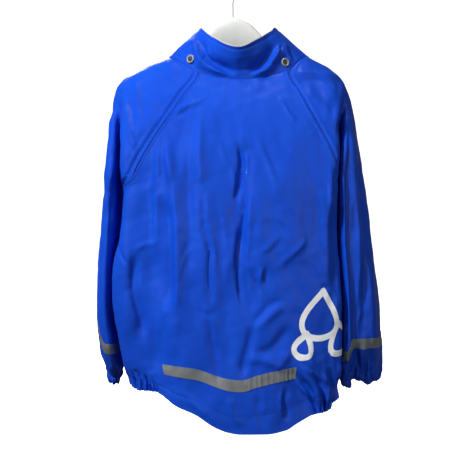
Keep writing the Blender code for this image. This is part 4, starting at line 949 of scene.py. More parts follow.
# Folds of the collar's back, between its snaps and the hollow in its middle.
COLLAR_CREASES = (
    (1.7, 3, 9, (-55, 114), (-55, 124), (-52, 136), (-47, 146), (-37, 154), (-25, 162), (-12, 168)),
    (-1.6, 7, 3, (-50, 117), (-45, 128), (-42, 140), (-32, 150), (-17, 158), (-3, 164)),
    (0.7, 2.5, 2.5, (-37, 114), (-40, 126), (-38, 136), (-32, 146)),
    (-0.9, 2.5, 3, (-62, 116), (-63, 126), (-63, 137)),
    (0.8, 5, 5, (-78, 147), (-69, 140), (-60, 137)),
    (1.5, 9, 3, (67, 123), (64, 130), (58, 141), (51, 153), (43, 161), (31, 168)),
    (-1.5, 3, 7, (61, 126), (54, 136), (47, 146), (37, 156), (23, 164)),
    (-1, 1.6, 2, (68, 123), (68, 138)),
    (0.5, 4, 3, (74, 118), (78, 133), (86, 144)),
    (-0.6, 3, 3, (80, 124), (86, 136), (94, 146)),
)

# The elastic's pleats at the back's hem and at the cuffs, as the creases above.
GATHER_CREASES = (
    (-2.2, 1.5, 1.5, (-146, 595), (-142, 603), (-140, 626)),
    (-1.6, 3, 2, (-142, 593), (-137, 597), (-135, 602)),
    (-2.4, 1.3, 1.3, (-137, 600), (-133, 606), (-131, 612), (-130, 626)),
    (-2.6, 1.4, 1.4, (-127, 600), (-124, 607), (-122, 627)),
    (-2, 1.2, 1.2, (-120, 612), (-118, 616), (-118, 629)),
    (-2, 1.3, 1.2, (-115, 607), (-113, 615), (-112, 630)),
    (-1.8, 1.2, 1.2, (-110, 610), (-109, 617), (-109, 632)),
    (-1.4, 1.4, 1.4, (-154, 593), (-152, 602), (-149, 619)),
    (1.6, 1.6, 1.2, (-144, 597), (-139, 605), (-138, 626)),
    (1.8, 1.6, 1.4, (-135, 606), (-134, 627)),
    (1.5, 1.2, 1.2, (-131, 606), (-128, 627)),
    (1.4, 1.2, 1.2, (-126, 609), (-125, 627)),
    (1.4, 1.1, 1.1, (-121, 606), (-120, 627)),
    (1.3, 1.1, 1.1, (-117, 612), (-115, 629)),
    (-1.3, 3, 2.4, (98, 628), (110, 636), (116, 642), (119, 663)),
    (-1.3, 1.6, 1.6, (114, 631), (116, 638), (119, 646)),
    (-2.2, 1.3, 1.3, (120, 635), (123, 642), (124, 663)),
    (-2.2, 1.4, 1.4, (128, 638), (128, 663)),
    (-1.9, 1.5, 1.5, (137, 630), (135, 640), (134, 662)),
    (-1.3, 1.2, 1.2, (141, 639), (139, 655)),
    (1.4, 3.4, 2.6, (91, 592), (101, 602), (108, 610), (114, 619), (118, 630), (121, 642), (121, 663)),
    (1.1, 3.4, 2.6, (93, 613), (103, 623), (110, 630), (116, 639), (117, 662)),
    (1.3, 1.3, 1.3, (125, 640), (125, 662)),
    (1.3, 1.5, 1.3, (131, 642), (131, 662)),
    (1.2, 2, 2, (123, 615), (130, 623), (134, 633), (133, 642)),
    (1.1, 3, 2.4, (107, 592), (117, 599), (123, 606)),
    (-2.2, 3.4, 3, (177, 565), (180, 579), (183, 590), (185, 602), (186, 613)),
    (-1.2, 2.2, 2.2, (190, 579), (189, 593), (189, 608)),
    (-1.8, 4, 3.4, (156, 579), (163, 589), (169, 599), (171, 609)),
    (-1.2, 2.4, 2.4, (155, 599), (153, 616)),
    (1.2, 2.4, 2.4, (171, 573), (175, 587), (178, 596)),
    (1.3, 2.4, 2.4, (161, 599), (166, 606), (167, 615)),
    (1.2, 3, 3, (200, 587), (203, 599), (203, 608)),
)
COLLAR_TABLES = ((BACK, COLLAR_CREASES), (FRONT, FRONT_CREASES))
GATHER_TABLES = ((BACK, GATHER_CREASES),)


def ripples(points, seed, wave, tall=2.5, count=26):
    """Soft unevenness of hanging cloth: seeded waves about one wavelength apart, longer down the cloth."""
    rng = np.random.default_rng(seed)
    total = np.zeros(points.shape[:-1])
    for _ in range(count):
        way = rng.normal(size=3) * np.array([1.0, 1.0, 1.0 / tall])
        way *= 2 * math.pi / (wave * rng.uniform(0.7, 1.6)) / np.linalg.norm(way)
        total += np.cos(points @ way + rng.uniform(0, 2 * math.pi))
    return total / math.sqrt(count)


def crumple(points, seed, wave, tall=2.2):
    """Small sharp-edged dents of film-coated cloth, in patches."""
    folds = 0.6 - np.abs(ripples(points, seed, wave, tall))
    return folds * ease(0.5 + 0.8 * ripples(points, seed + 1, 4.0 * wave, 1.4, 12))


def uneven(points, waves, turn, soft, dents):
    """Soft waves, short waves and dents together. Turn sets pieces with the same waves apart."""
    (long_seed, long), (short_seed, short), (dent_seed, dent) = waves
    height = soft * ripples(points, long_seed + turn, long)
    height += 0.35 * ripples(points, short_seed + turn, short, tall=1.6)
    return height + dents * crumple(points, dent_seed + turn, dent)


# ---------------------------------------------------------------- meshes
def relax(points, times):
    """Evens out a grid of points, with its borders held."""
    points = points.copy()
    for _ in range(times):
        near = points[:-2, 1:-1] + points[2:, 1:-1] + points[1:-1, :-2] + points[1:-1, 2:]
        points[1:-1, 1:-1] = 0.5 * points[1:-1, 1:-1] + 0.125 * near
    return points


def outward(points, loops):
    """Outward directions over a grid whose rows run down, and whose columns run left to right as seen
    from outside. Rows that loop end where they start."""
    across = np.gradient(points, axis=1)
    across[loops, 0] = across[loops, -1] = points[loops, 1] - points[loops, -2]
    return unit(np.cross(np.gradient(points, axis=0), across))


class Panel:
    """A piece of cloth as a fine grid of outside points, on which other pieces are laid."""

    def __init__(self, points, rows, shares, loops=None):
        self.points = points
        self.rows, self.shares = np.asarray(rows, float), np.asarray(shares, float)
        self.loops = np.zeros(len(rows), bool) if loops is None else loops
        self.normal = outward(points, self.loops)

    def raise_by(self, height):
        self.points = self.points + self.normal * height[..., None]
        self.normal = outward(self.points, self.loops)

    def at(self, shares, rows, lift=0.0):
        """Points and outward directions at places on the panel, moved out by lift."""
        i, j = where_in(shares, self.shares), where_in(rows, self.rows)
        points, normal = blend(self.points, i, j), unit(blend(self.normal, i, j))
        return points + normal * (np.zeros(i.shape) + lift)[..., None], normal


def tucked(panel, sides=True):
    """The panel with a margin beyond its top row and side columns, sunk under the pieces sewn to it."""
    def beyond(edge, inner, normal):
        return edge + TUCK * unit(edge - inner) - SINK * normal

    def even(line, reach=7):
        padded = np.pad(line, ((reach, reach), (0, 0)), mode="edge")
        return np.mean([padded[k:k + len(line)] for k in range(2 * reach + 1)], axis=0)

    points, rows, shares = panel.points, panel.rows, panel.shares
    # The top row goes under by its neighbours' mean, as the turn at a shoulder's crest is tight.
    top = beyond(points[0], points[0] - even(points[0] - points[1]), even(panel.normal[0]))
    points = np.concatenate([top[None], points])
    rows = np.concatenate([[rows[0] - TUCK], rows])
    if sides:
        normal = np.concatenate([panel.normal[:1], panel.normal])
        left = beyond(points[:, 0], points[:, 2], normal[:, 0])
        right = beyond(points[:, -1], points[:, -3], normal[:, -1])
        points = np.concatenate([left[:, None], points, right[:, None]], axis=1)
        step = TUCK / NOMINAL_WIDTH
        shares = np.concatenate([[shares[0] - step], shares, [shares[-1] + step]])
    return Panel(points, rows, shares, np.concatenate([[False], panel.loops]))


def quads(grid, flip=False):
    """The faces between the rows and columns of a grid of numbers of points."""
    corners = [grid[:-1, :-1], grid[1:, :-1], grid[1:, 1:], grid[:-1, 1:]]
    if flip:
        corners[1], corners[3] = corners[3], corners[1]
    return np.stack(corners, axis=-1).reshape(-1, 4)


def tube(rings, sides):
    """The faces of a closed tube of rings of points: its wall, and its first and its last end."""
    grid = np.arange(rings * sides).reshape(rings, sides)
    wall = quads(np.hstack([grid, grid[:, :1]]), flip=True)
    return [*wall.tolist(), grid[0][::-1].tolist(), grid[-1].tolist()]


def make_mesh(name, points, faces, materials, indices=None):
    mesh = bpy.data.meshes.new(name)
    faces = faces.tolist() if isinstance(faces, np.ndarray) else faces
    mesh.from_pydata((np.asarray(points) * MM).tolist(), [], faces)
    for made in materials:
        mesh.materials.append(made)
    if indices is not None:
        mesh.polygons.foreach_set("material_index", np.asarray(indices, np.int32))
    mesh.shade_smooth()
    mesh.set_sharp_from_angle(angle=SHARP_ANGLE)
    mesh.update()
    obj = bpy.data.objects.new(name, mesh)
    bpy.context.scene.collection.objects.link(obj)
    return obj


def wall_depth(panel, thickness):
    """The wall's thickness over a panel, less where a tight fold would turn its inside out."""
    depth = np.full(panel.points.shape[:2], float(thickness))
    for _ in range(5):
        inner = panel.points - panel.normal * depth[..., None]
        for axis in (0, 1):
            step, kept = np.diff(panel.points, axis=axis), np.diff(inner, axis=axis)
            tight = np.sum(step * kept, axis=-1) < TIGHTEST * np.sum(step * step, axis=-1)
            tight = np.moveaxis(np.where(tight, 0.5, 1.0), axis, 0)
            lines = np.moveaxis(depth, axis, 0)
            lines[1:] *= tight
            lines[:-1] *= tight
        depth = np.maximum(depth, THINNEST)
    return depth


def shell(name, panel, thickness, outside, inside, turned_in=(0, 0)):
    """A closed wall whose outside is a panel. Its outer face shows inside too, where its ends are
    turned in."""
    high, wide = panel.points.shape[:2]
    grid = np.arange(high * wide).reshape(high, wide)
    grid[panel.loops, -1] = grid[panel.loops, 0]
    inner = grid + high * wide
    edges = [
        np.stack([grid[0, :-1], grid[0, 1:], inner[0, 1:], inner[0, :-1]], axis=-1),
        np.stack([grid[-1, :-1], inner[-1, :-1], inner[-1, 1:], grid[-1, 1:]], axis=-1),
    ]
    rows = np.flatnonzero(~(panel.loops[:-1] & panel.loops[1:]))
    for end, turn in ((0, 1), (-1, -1)):
        side = [grid[rows, end], inner[rows, end], inner[rows + 1, end], grid[rows + 1, end]]
        edges.append(np.stack(side, axis=-1)[:, ::turn])
    front, back, edges = quads(grid), quads(inner, flip=True), np.vstack(edges)
    faces = np.vstack([front, back, edges])
    folded = panel.rows[:-1] < panel.rows[0] + turned_in[0]
    folded |= panel.rows[1:] > panel.rows[-1] - turned_in[1]
    behind = np.repeat(np.where(folded, 0, 1), wide - 1)
    indices = np.concatenate([np.zeros(len(front)), behind, np.zeros(len(edges))])
    inside_points = panel.points - panel.normal * wall_depth(panel, thickness)[..., None]
    points = np.vstack([panel.points.reshape(-1, 3), inside_points.reshape(-1, 3)])
    used = np.unique(faces)
    renamed = np.zeros(len(points), int)
    renamed[used] = np.arange(len(used))
    faces = [[int(v) for i, v in enumerate(f) if v != f[i - 1]] for f in renamed[faces]]
    return make_mesh(name, points[used], faces, [outside, inside], indices)


def spaced(line, normal, pitch):
    """A line and its outward directions at even steps."""
    run = lengths(line)
    count = max(2, int(run[-1] / pitch) + 1)
    at = (np.arange(count) + 0.5 * (run[-1] / pitch - count + 1)) * pitch
    at = np.clip(at, 0, run[-1])
    return pick(line, run, at), pick(normal, run, at), pick(np.gradient(line, axis=0), run, at)


# A stitch along its length: (place, share of the thread's radius).
STITCH = ((-0.5, 0.0), (-0.46, 0.62), (-0.3, 1.0), (0.3, 1.0), (0.46, 0.62), (0.5, 0.0))
STITCH_SINK = 0.08


def stitches(name, lines):
    """A row of sewn stitches along each line of points with outward directions."""
    radius = bpy.context.scene.raincoat.stitch_radius / MM
    spin = circle(6, 1.0)
    points, faces, base = [], [], 0
    for line, normal in lines:
        here, out, way = spaced(line, normal, STITCH_PITCH)
        way = unit(way)
        side = unit(np.cross(way, out))
        up = np.cross(side, way)
        for p, w, s, u in zip(here + out * (radius - STITCH_SINK), way, side, up):
            rings = []
            for along, width in STITCH:
                dip = -0.55 * radius * (2 * along) ** 4
                centre = p + w * along * STITCH_LENGTH + u * dip
                ring = centre + width * radius * (spin[:, :1] * s + spin[:, 1:] * u)
                rings.append(ring if width > 0 else centre[None])
            points += rings
            counts = [len(r) for r in rings]
            starts = base + np.concatenate([[0], np.cumsum(counts)])
            for k in range(len(rings) - 1):
                for m in range(6):
                    n = (m + 1) % 6
                    if counts[k] == 1:
                        faces.append([starts[k], starts[k + 1] + m, starts[k + 1] + n])
                    elif counts[k + 1] == 1:
                        faces.append([starts[k] + m, starts[k + 1], starts[k] + n])
                    else:
                        faces.append([starts[k] + m, starts[k + 1] + m, starts[k + 1] + n, starts[k] + n])
            base = starts[-1]
    faces = [[int(v) for v in face] for face in faces]
    own(make_mesh(name, np.vstack(points), faces, [finish_of(thread)]), "cloth")


def swept(name, centres, ups, profile, finish):
    """A closed tube round a path. Profile rows are (across, up) from the path."""
    way = unit(np.gradient(centres, axis=0))
    side = unit(np.cross(way, ups))
    up = np.cross(side, way)
    points = centres[:, None] + profile[None, :, :1] * side[:, None] + profile[None, :, 1:] * up[:, None]
    return make_mesh(name, points.reshape(-1, 3), tube(*points.shape[:2]), [finish])


def turned(name, centre, axis, profile, finish, sides=40):
    """A closed solid turned about an axis. Profile is (radius, height) rows, from the axis to the axis."""
    side = unit(np.cross(axis, [0.0, 0.0, 1.0]))
    spoke = circle(sides, 1.0) @ [side, np.cross(axis, side)]
    points = [centre + axis * height + max(radius, 0.001) * spoke for radius, height in profile]
    return make_mesh(name, np.vstack(points), tube(len(profile), sides), [finish])


# ---------------------------------------------------------------- materials
def linear(hex_colour):
    """Linear values of an sRGB colour such as 1F4FC4."""
    values = [int(hex_colour[i : i + 2], 16) / 255 for i in (0, 2, 4)]
    return tuple(v / 12.92 if v <= 0.04045 else ((v + 0.055) / 1.055) ** 2.4 for v in values) + (1.0,)


def add_node(material, kind, inputs=(), **settings):
    """A node of a kind, with its settings and its inputs, each a value or another node's output."""
    tree = material.node_tree
    node = tree.nodes.new(kind)
    for key, value in settings.items():
        setattr(node, key, value)
    for key, value in dict(inputs).items():
        if isinstance(value, bpy.types.NodeSocket):
            tree.links.new(value, node.inputs[key])
        else:
            node.inputs[key].default_value = value
    return node


def new_material(name, **values):
    """A material with a principled shader whose inputs have these values."""
    made = bpy.data.materials.new(name)
    made.use_nodes = True
    shader = made.node_tree.nodes["Principled BSDF"]
    for key, value in values.items():
        shader.inputs[key.replace("_", " ")].default_value = value
    return made, shader


def ramp(material, factor, *stops):
    """A colour ramp over a factor. Each stop is (position, sRGB hex colour)."""
    node = add_node(material, "ShaderNodeValToRGB", {"Fac": factor})
    while len(node.color_ramp.elements) < len(stops):
        node.color_ramp.elements.new(1.0)
    for element, (position, colour) in zip(node.color_ramp.elements, stops):
        element.position, element.color = position, linear(colour)
    return node.outputs["Color"]


def place(material, scale=(1.0, 1.0, 1.0)):
    """Object coordinates in metres, scaled."""
    where = add_node(material, "ShaderNodeTexCoord").outputs["Object"]
    return add_node(material, "ShaderNodeMapping", {"Vector": where, "Scale": scale}).outputs["Vector"]


def bump(material, height, distance, strength, under=None):
    inputs = {"Height": height, "Distance": distance, "Strength": strength}
    if under is not None:
        inputs["Normal"] = under
    return add_node(material, "ShaderNodeBump", inputs).outputs["Normal"]


def dress(made, shader, colour, normal):
    """Gives a shader its colour and its relief."""
    made.node_tree.links.new(colour, shader.inputs["Base Color"])
    made.node_tree.links.new(normal, shader.inputs["Normal"])
    return made


def noise_texture(made, scale, detail, stretch=(1, 1, 1)):
    inputs = {"Vector": place(made, stretch), "Scale": scale, "Detail": detail}
    return add_node(made, "ShaderNodeTexNoise", inputs).outputs["Fac"]


def wave_texture(made, scale, distortion, bands="X"):
    inputs = {"Vector": place(made), "Scale": scale, "Distortion": distortion}
    return add_node(made, "ShaderNodeTexWave", inputs, bands_direction=bands).outputs["Fac"]


def patterned(made, shader, factor, low, high, distance, strength):
    """Gives a shader a colour, from low to high, and a relief that follow one pattern."""
    return dress(made, shader, ramp(made, factor, low, high), bump(made, factor, distance, strength))


def coated_cloth():
    """Polyester knit with a cast polyurethane skin: a satin film with a fine leathery grain."""
    settings = bpy.context.scene.raincoat
    made, shader = new_material("Coated cloth, satin polyurethane on polyester knit",
                                Coat_Weight=0.08, Coat_Roughness=0.25, Specular_IOR_Level=0.32)
    blotch = noise_texture(made, 14.0, 3.0, (1, 1, 0.6))
    colour = ramp(made, blotch, (0.3, settings.cloth_shade), (0.7, settings.cloth_colour))
    # The film's grain is about 0.3 mm; it is drawn at 0.8 mm so that it shows at all.
    grain = noise_texture(made, 1250.0, 2.0)
    pucker = bump(made, noise_texture(made, 95.0, 3.0, (1, 1, 0.5)), 0.0012, 0.55)
    rough = add_node(made, "ShaderNodeMapRange", {"Value": blotch, "To Min": 0.36, "To Max": 0.46})
    made.node_tree.links.new(rough.outputs["Result"], shader.inputs["Roughness"])
    return dress(made, shader, colour, bump(made, grain, 0.00006, 0.6, pucker))


def knit_backing():
    """The uncoated side of the cloth: a pale brushed polyester knit."""
    made, shader = new_material("Knit backing, brushed polyester",
                                Roughness=0.85, Sheen_Weight=0.25, Sheen_Roughness=0.5)
    # Wales are about 0.9 mm apart; they are drawn at 1.8 mm so that they show at all.
    wales = wave_texture(made, 175.0, 1.5)
    return patterned(made, shader, wales, (0.0, "A9ADB2"), (1.0, "CDCFD1"), 0.0002, 0.6)


def knit_binding():
    """Cotton jersey edge along the collar's inside, unbleached."""
    made, shader = new_material("Collar binding, unbleached cotton jersey", Roughness=0.9, Sheen_Weight=0.3)
    rib = wave_texture(made, 230.0, 0.8)
    return patterned(made, shader, rib, (0.0, "A89F90"), (1.0, "D6CEBF"), 0.0002, 0.7)


def thread():
    """Spun polyester thread, dyed to the cloth, two plies twisted."""
    made, shader = new_material("Thread, twisted spun polyester", Roughness=0.5)
    twist = wave_texture(made, 900.0, 1.0, "DIAGONAL")
    return patterned(made, shader, twist, (0.0, "1C49B8"), (1.0, "3C72E0"), 0.0001, 0.5)


def reflective_tape():
    """Retroreflective tape: glass beads in a grey binder on woven polyester."""
    settings = bpy.context.scene.raincoat
    made, shader = new_material("Reflective tape, glass beads on woven polyester",
                                Roughness=0.42, Metallic=0.35)
    # Beads are 0.06 mm; they are drawn at 0.5 mm as a faint speckle.
    beads = add_node(made, "ShaderNodeTexVoronoi", {"Vector": place(made), "Scale": 1900.0})
    cloud = noise_texture(made, 60.0, 4.0)
    colour = ramp(made, cloud, (0.3, settings.tape_shade), (0.7, settings.tape_colour))
    return dress(made, shader, colour, bump(made, beads.outputs["Distance"], 0.00008, 0.5))


def moulded_plastic():
    """White injection-moulded polystyrene with a slight orange peel."""
    made, shader = new_material("Hanger, moulded white polystyrene",
                                Roughness=0.26, Coat_Weight=0.3, Coat_Roughness=0.12)
    peel = noise_texture(made, 260.0, 1.0)
    return patterned(made, shader, peel, (0.3, "D1D3D3"), (0.7, "D7D9D9"), 0.0003, 0.15)


def metal(name, light, dark, roughness, scratches, metallic=1.0):
    """Plated metal with fine handling scratches. Given little metal, its pale colour is lit as a matt
    surface: partly the plating's own dull grey, partly a painted reflection of the bright studio.
    """
    made, shader = new_material(name, Roughness=roughness, Metallic=metallic)
    marks = noise_texture(made, 420.0, 3.0, (1, 1, 6))
    return patterned(made, shader, marks, (0.35, dark), (0.65, light), 0.00004, scratches)


def print_film():
    """Screen-printed plastisol ink: a soft white film with a slight tooth."""
    made, shader = new_material("Print, white plastisol ink film", Roughness=0.45)
    mottle = noise_texture(made, 420.0, 3.0)
    return patterned(made, shader, mottle, (0.3, "F4FAFE"), (0.7, "FCFEFF"), 0.0001, 0.4)


def studio_paper():
    """Seamless white background paper, which glows evenly so that it reads as white."""
    made, shader = new_material("Background paper, matt white", Roughness=0.9, Emission_Strength=0.9)
    white = ramp(made, noise_texture(made, 3.0, 4.0), (0.0, "FBFBFB"), (1.0, "FFFFFF"))
    for socket in ("Base Color", "Emission Color"):
        made.node_tree.links.new(white, shader.inputs[socket])
    return made


# Metals: name, light and dark colour, roughness, depth of the scratches and how metallic.
NICKEL = ("Snaps, nickel-plated brass", "D2D3CF", "B4B4B0", 0.3, 0.4, 0.6)
# The snap wells' near-black colour is painted shade: it stands in for the dark hole in the middle of each
# ring socket.
WELL_PAINTED_SHADE = ("Snap wells, tarnished brass", "3A3936", "1B1A1A", 0.5, 0.5)
# The hook's near-white colour, lit as matt, is partly the dull zinc and partly a painted reflection of the
# bright studio.
ZINC_PAINTED_PALE = ("Hook, dull zinc-plated steel wire", "F0F0F2", "E2E3E6", 0.5, 0.3, 0.1)


@functools.cache
def finish_of(maker, *args):
    """Each material, made once."""
    return maker(*args)


def own(obj, slot, *nodes):
    """The piece rides on the one body and stands for the nodes it replaces, which it hides. Its slot is not
    used.
    """
    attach(obj, BODY)
    if nodes:
        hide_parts(*nodes)
    return obj


def sewn(name, panel, thickness=None, turned_in=(0, 0)):
    """A piece of the coated cloth with its knit backing."""
    thickness = thickness or bpy.context.scene.raincoat.cloth_thickness / MM
    cloth, backing = finish_of(coated_cloth), finish_of(knit_backing)
    return shell(f"cloth_{name}", panel, thickness, cloth, backing, turned_in)


# ---------------------------------------------------------------- the coat's panels
def rows_between(*stops):
    """Rows from one stop to the next. Stops are (row, step from here on)."""
    rows = [np.arange(start, end - 0.4 * step, step) for (start, step), (end, _) in zip(stops, stops[1:])]
    return np.concatenate([*rows, [stops[-1][0]]])


def groove(distance, depth, width):
    return -depth * np.exp(-((distance / width) ** 2))


class Coat:
    """The cloths that the solids follow, worked out once."""
    """The cloths that the solids follow, worked out once."""

    def __init__(self):
        self.back = Cloth(lambda drop, shares: body_line(BACK, drop, shares), back_drop)
        self.front = Cloth(lambda drop, shares: body_line(FRONT, drop, shares), front_drop)
        self.faces = {BACK: self.back, FRONT: self.front}
        self.sleeves = {side: Sleeve(side) for side in (LEFT, RIGHT)}
        self.collar = Collar(self.back, self.front, self.sleeves)


@functools.cache
def coat():
    return Coat()


def raglan_slopes(cloth, rows):
    """The width of each row between the raglan seams, and how square each seam is to it at either end."""
    ends = cloth.read(np.array([[0.0], [1.0]]), rows)[..., 2]
    lean = np.gradient(ends, rows, axis=1)
    return ends[1] - ends[0], 1 / np.sqrt(1 + lean**2)


def felled_height(across):
    """The raised band of a felled seam by distance from the seam, with a dip along each row of stitches."""
    band = ease(across / 1.6) * ease((SEAM_WIDTH + 1.5 - across) / 2.2)
    height = SEAM_RAISE * band * (1 + 0.6 * np.exp(-(((across - 4.8) / 2.0) ** 2)))
    for at, depth, width in FELLED_GROOVES:
        height = height + groove(across - at, depth, width)
    return height


def puffs(turns):
    """Rounded puffs between sharp valleys, one to a turn, from -1 to 1."""
    return 2 * np.sqrt(np.abs(np.sin(math.pi * turns))) - 1


def hem_gather_height(from_seam, rows):
    """Short uneven gathers where elastic draws the hem in near the side seams."""
    fade = ease((50.0 - from_seam) / 18) * ease(from_seam / 3)
    wander = 0.9 * np.sin(from_seam / 9.0) + 0.6 * np.sin(from_seam / 4.1 + rows / 17)
    rounded = puffs((from_seam + wander) / HEM_GATHER["pitch"])
    uneven = 0.72 + 0.28 * np.sin(from_seam / 6.3 + 1.0)
    tall = HEM_GATHER["height"] * (1.0 + 0.4 * np.sin(from_seam / 5.2))
    low = ease((rows - (SIDE_END - tall)) / 13)
    return 1.15 * HEM_GATHER["size"] * low * fade * uneven * rounded


def body_panel(face, first, last, stops, shares):
    """A panel of the back or front between two shares of its width."""
    settings = bpy.context.scene.raincoat
    cloth = coat().faces[face]
    rows = rows_between(*stops)
    whole = first + (last - first) * shares
    grid_shares, grid_rows = np.meshgrid(whole, rows)
    panel = Panel(relax(cloth.shaped(grid_shares, grid_rows), 5), rows, whole)
    panel.raise_by(crease_height(panel, settings.crease_depth))
    inside = ease(np.minimum(grid_shares, 1 - grid_shares) * 40)
    low = 0.35 + 0.65 * ease((grid_rows - 300) / 110)
    height = settings.unevenness * inside * uneven(panel.points, BODY_WAVES, face, 1.0, 0.85 * low)
    at, ends = cloth.read(grid_shares, grid_rows)[..., 2], cloth.ends(SIDE_END)
    from_seam = np.minimum(at - ends[0], ends[1] - at)
    height += hem_gather_height(from_seam, grid_rows) * settings.gather_depth
    height += crease_height(panel, settings.gather_depth, GATHER_TABLES)
    wide, square = raglan_slopes(cloth, rows)
    sides = (LEFT, RIGHT) if face == BACK else (RIGHT, LEFT)
    for share, steep, side in zip((grid_shares, 1 - grid_shares), square, sides):
        fade = ease((UNDERARM[side] - 16 - grid_rows) / 16)
        height += fade * felled_height(share * (wide * steep)[:, None])
    height += groove(grid_rows - (SIDE_END - HEM_STITCH), 0.6, 1.6)
    panel.raise_by(height)
    return tucked(panel)


def sleeve_panel(side):
    settings = bpy.context.scene.raincoat
    cloth = coat().sleeves[side]
    top, end = SIDES[side]["drop"][0] + ARM_TOP, CUFF_END[side]
    rows = rows_between((top, 3.4), (UNDERARM[side], 3.9), (end - 64, 2.2), (end - 18, 1.1), (end, 1.0))
    rows = np.unique(np.append(rows, UNDERARM[side]))
    shares = np.linspace(0, 1, 7 * CUFF_PLEATS + 1)
    grid_shares, grid_rows = np.meshgrid(shares, rows)
    points = relax(cloth.shaped(grid_shares, grid_rows), 4)
    loops = rows >= UNDERARM[side]
    up = end - grid_rows
    reach, drawn = CUFF_DRAW[side]
    pull = drawn * ease((reach - up) / (0.7 * reach))
    pull += CUFF_TURN[1] * ease((CUFF_TURN[0] - up) / CUFF_TURN[0]) ** 2
    middle = points.mean(axis=1, keepdims=True)
    points[..., :2] += (pull[..., None] * (middle - points))[..., :2]
    if side == RIGHT:
        # This cuff's outer end lies a little lower.
        points[..., 2] -= 6 * ease((points[..., 0] - 183) / 14) * ease((44 - up) / 34)
    points[loops, -1] = points[loops, 0]
    panel = Panel(points, rows, shares, loops)
    widths = np.array([abs(np.diff(cloth.ends(row))[0]) for row in rows])
    from_seam = np.minimum(grid_shares, 1 - grid_shares) * widths[:, None]
    # The cloth is calmer along the pleat.
    fold = np.abs(panel.points[..., 0]) - PLEAT[side]["out"]
    near = np.exp(-((fold / np.where(fold < 0, 18, 9)) ** 2))
    calm = 1 - near * ease((grid_rows - UNDERARM[side] + 5) / 25)
    panel.raise_by(0.75 * calm * crease_height(panel, settings.crease_depth))
    seam = ease((UNDERARM[side] - 16 - grid_rows) / 16)
    height = seam * (groove(from_seam, 1.1, 2.2) + 0.5 * np.exp(-(((from_seam - 5.5) / 2.6) ** 2)))
    inside = ease(from_seam / 14)
    height += settings.unevenness * inside * uneven(panel.points, ARM_WAVES, side, calm, 0.6 * calm)
    rounded = puffs(CUFF_PLEATS * grid_shares) * (0.8 + 0.2 * np.sin(grid_shares * 83))
    tall = 15 + 5 * np.sin(grid_shares * 45) + 3 * np.sin(grid_shares * 131)
    height += 0.42 * CUFF_GATHER * settings.gather_depth * ease((tall - up) / 9) * rounded
    height += crease_height(panel, settings.gather_depth, GATHER_TABLES)
    fans = np.cos(2 * math.pi * (9 * grid_shares + 0.2 * np.sin(grid_shares * 17 + side)))
    height += 1.5 * settings.gather_depth * ease((62 + 14 * np.sin(grid_shares * 23) - up) / 40) * fans
    height += groove(up - CUFF_STITCH, 0.9, 1.3)
    panel.raise_by(height)
    return tucked(panel, sides=False)


@functools.cache
def panel_of(name):
    """Each panel of the body and the sleeves, made once."""
    middle = coat().front.share(FRONTS_MEET, 0.0)
    gap = SEAM_GAP / 2 / NOMINAL_WIDTH
    if name == "back":
        stops = ((RAGLAN_TOP, 3.7), (562.0, 1.7), (SIDE_END, 1.1))
        shares = rows_between(*BACK_COLUMNS) / BACK_COLUMNS[-1][0]
        return body_panel(BACK, gap, 1 - gap, stops, shares)
    if name.startswith("sleeve"):
        return sleeve_panel(LEFT if name == "sleeve_left" else RIGHT)
    stops = ((RAGLAN_TOP, 3.4), (SIDE_END - 34, 1.8), (SIDE_END, 1.0))
    shares = np.concatenate([np.arange(0, 46, 1.2), np.linspace(46, 200, 62)]) / 200
    if name == "front_right":
        return body_panel(FRONT, gap, middle - gap, stops, shares)
    return body_panel(FRONT, middle + gap, 1 - gap, stops, 1 - shares[::-1])


@functools.cache
def collar_panel():
    settings = bpy.context.scene.raincoat
    turns = np.linspace(0.0006, 0.9994, 340)
    rows = np.concatenate([np.linspace(0, 0.2, 16)[:-1], np.linspace(0.2, 1.0, 35)])
    grid_turns, grid_rows = np.meshgrid(turns, rows)
    panel = Panel(relax(coat().collar.shaped(grid_turns, 1 - grid_rows), 5), rows, turns)
    lean = np.interp(grid_rows, *zip(*COLLAR_LEAN))
    panel.raise_by(lean * np.exp(-(((grid_turns - 0.5) / COLLAR_LEAN_WIDTH) ** 4)))
    at_foot = ease((1 - grid_rows) / 0.16)
    panel.raise_by(at_foot * crease_height(panel, 1.4 * settings.crease_depth, COLLAR_TABLES))
    height = 0.5 * settings.unevenness * ripples(panel.points, 91, 30.0)
    height += groove(grid_rows - COLLAR_STITCHES[0], 0.6, 0.03)
    panel.raise_by(height * ease(grid_rows / 0.03 + 0.3))
    return panel


def flap_panel():
    """The storm flap lies on the fronts and the collar, so its points are theirs moved out."""
    settings = bpy.context.scene.raincoat
    collar, cloth = coat().collar, coat().front
    across = np.linspace(-FLAP_WIDTH / 2, FLAP_WIDTH / 2, 27)
    heights = np.linspace(*FLAP_SHARES, 24)
    rows = np.linspace(FLAP_TOP, SIDE_END - FLAP_END, 190)
    upper = collar.shaped(*np.meshgrid(across / collar.length, heights))
    lower = np.array([cloth.shaped(cloth.share(row, across), row) for row in rows])
    points = relax(np.vstack([upper, lower]), 6)
    places = np.concatenate([np.linspace(0, 40, 24), 46 + rows - rows[0]])
    panel = Panel(points, places, across)
    panel.raise_by(np.full(points.shape[:2], LAY_GAP + CLOTH_WALL + FLAP_LIFT))
    panel.raise_by(0.4 * crease_height(panel, settings.crease_depth))
    height = groove(FLAP_WIDTH / 2 - np.abs(across) - FLAP_STITCH, 0.45, 1.1)
    panel.raise_by(height + 0.5 * settings.unevenness * ripples(points, 5, 30.0))
    return panel


def strip_panel(on, shares, rows):
    """A strip of tape laid on a panel, from its points moved out."""
    grid = np.meshgrid(shares, rows)
    points, _ = on.at(*grid, TAPE_LIFT)
    loops = np.full(len(rows), bool(on.loops[-1]))
    if loops.any():
        points[:, -1] = points[:, 0]
    return Panel(points, rows, shares, loops)


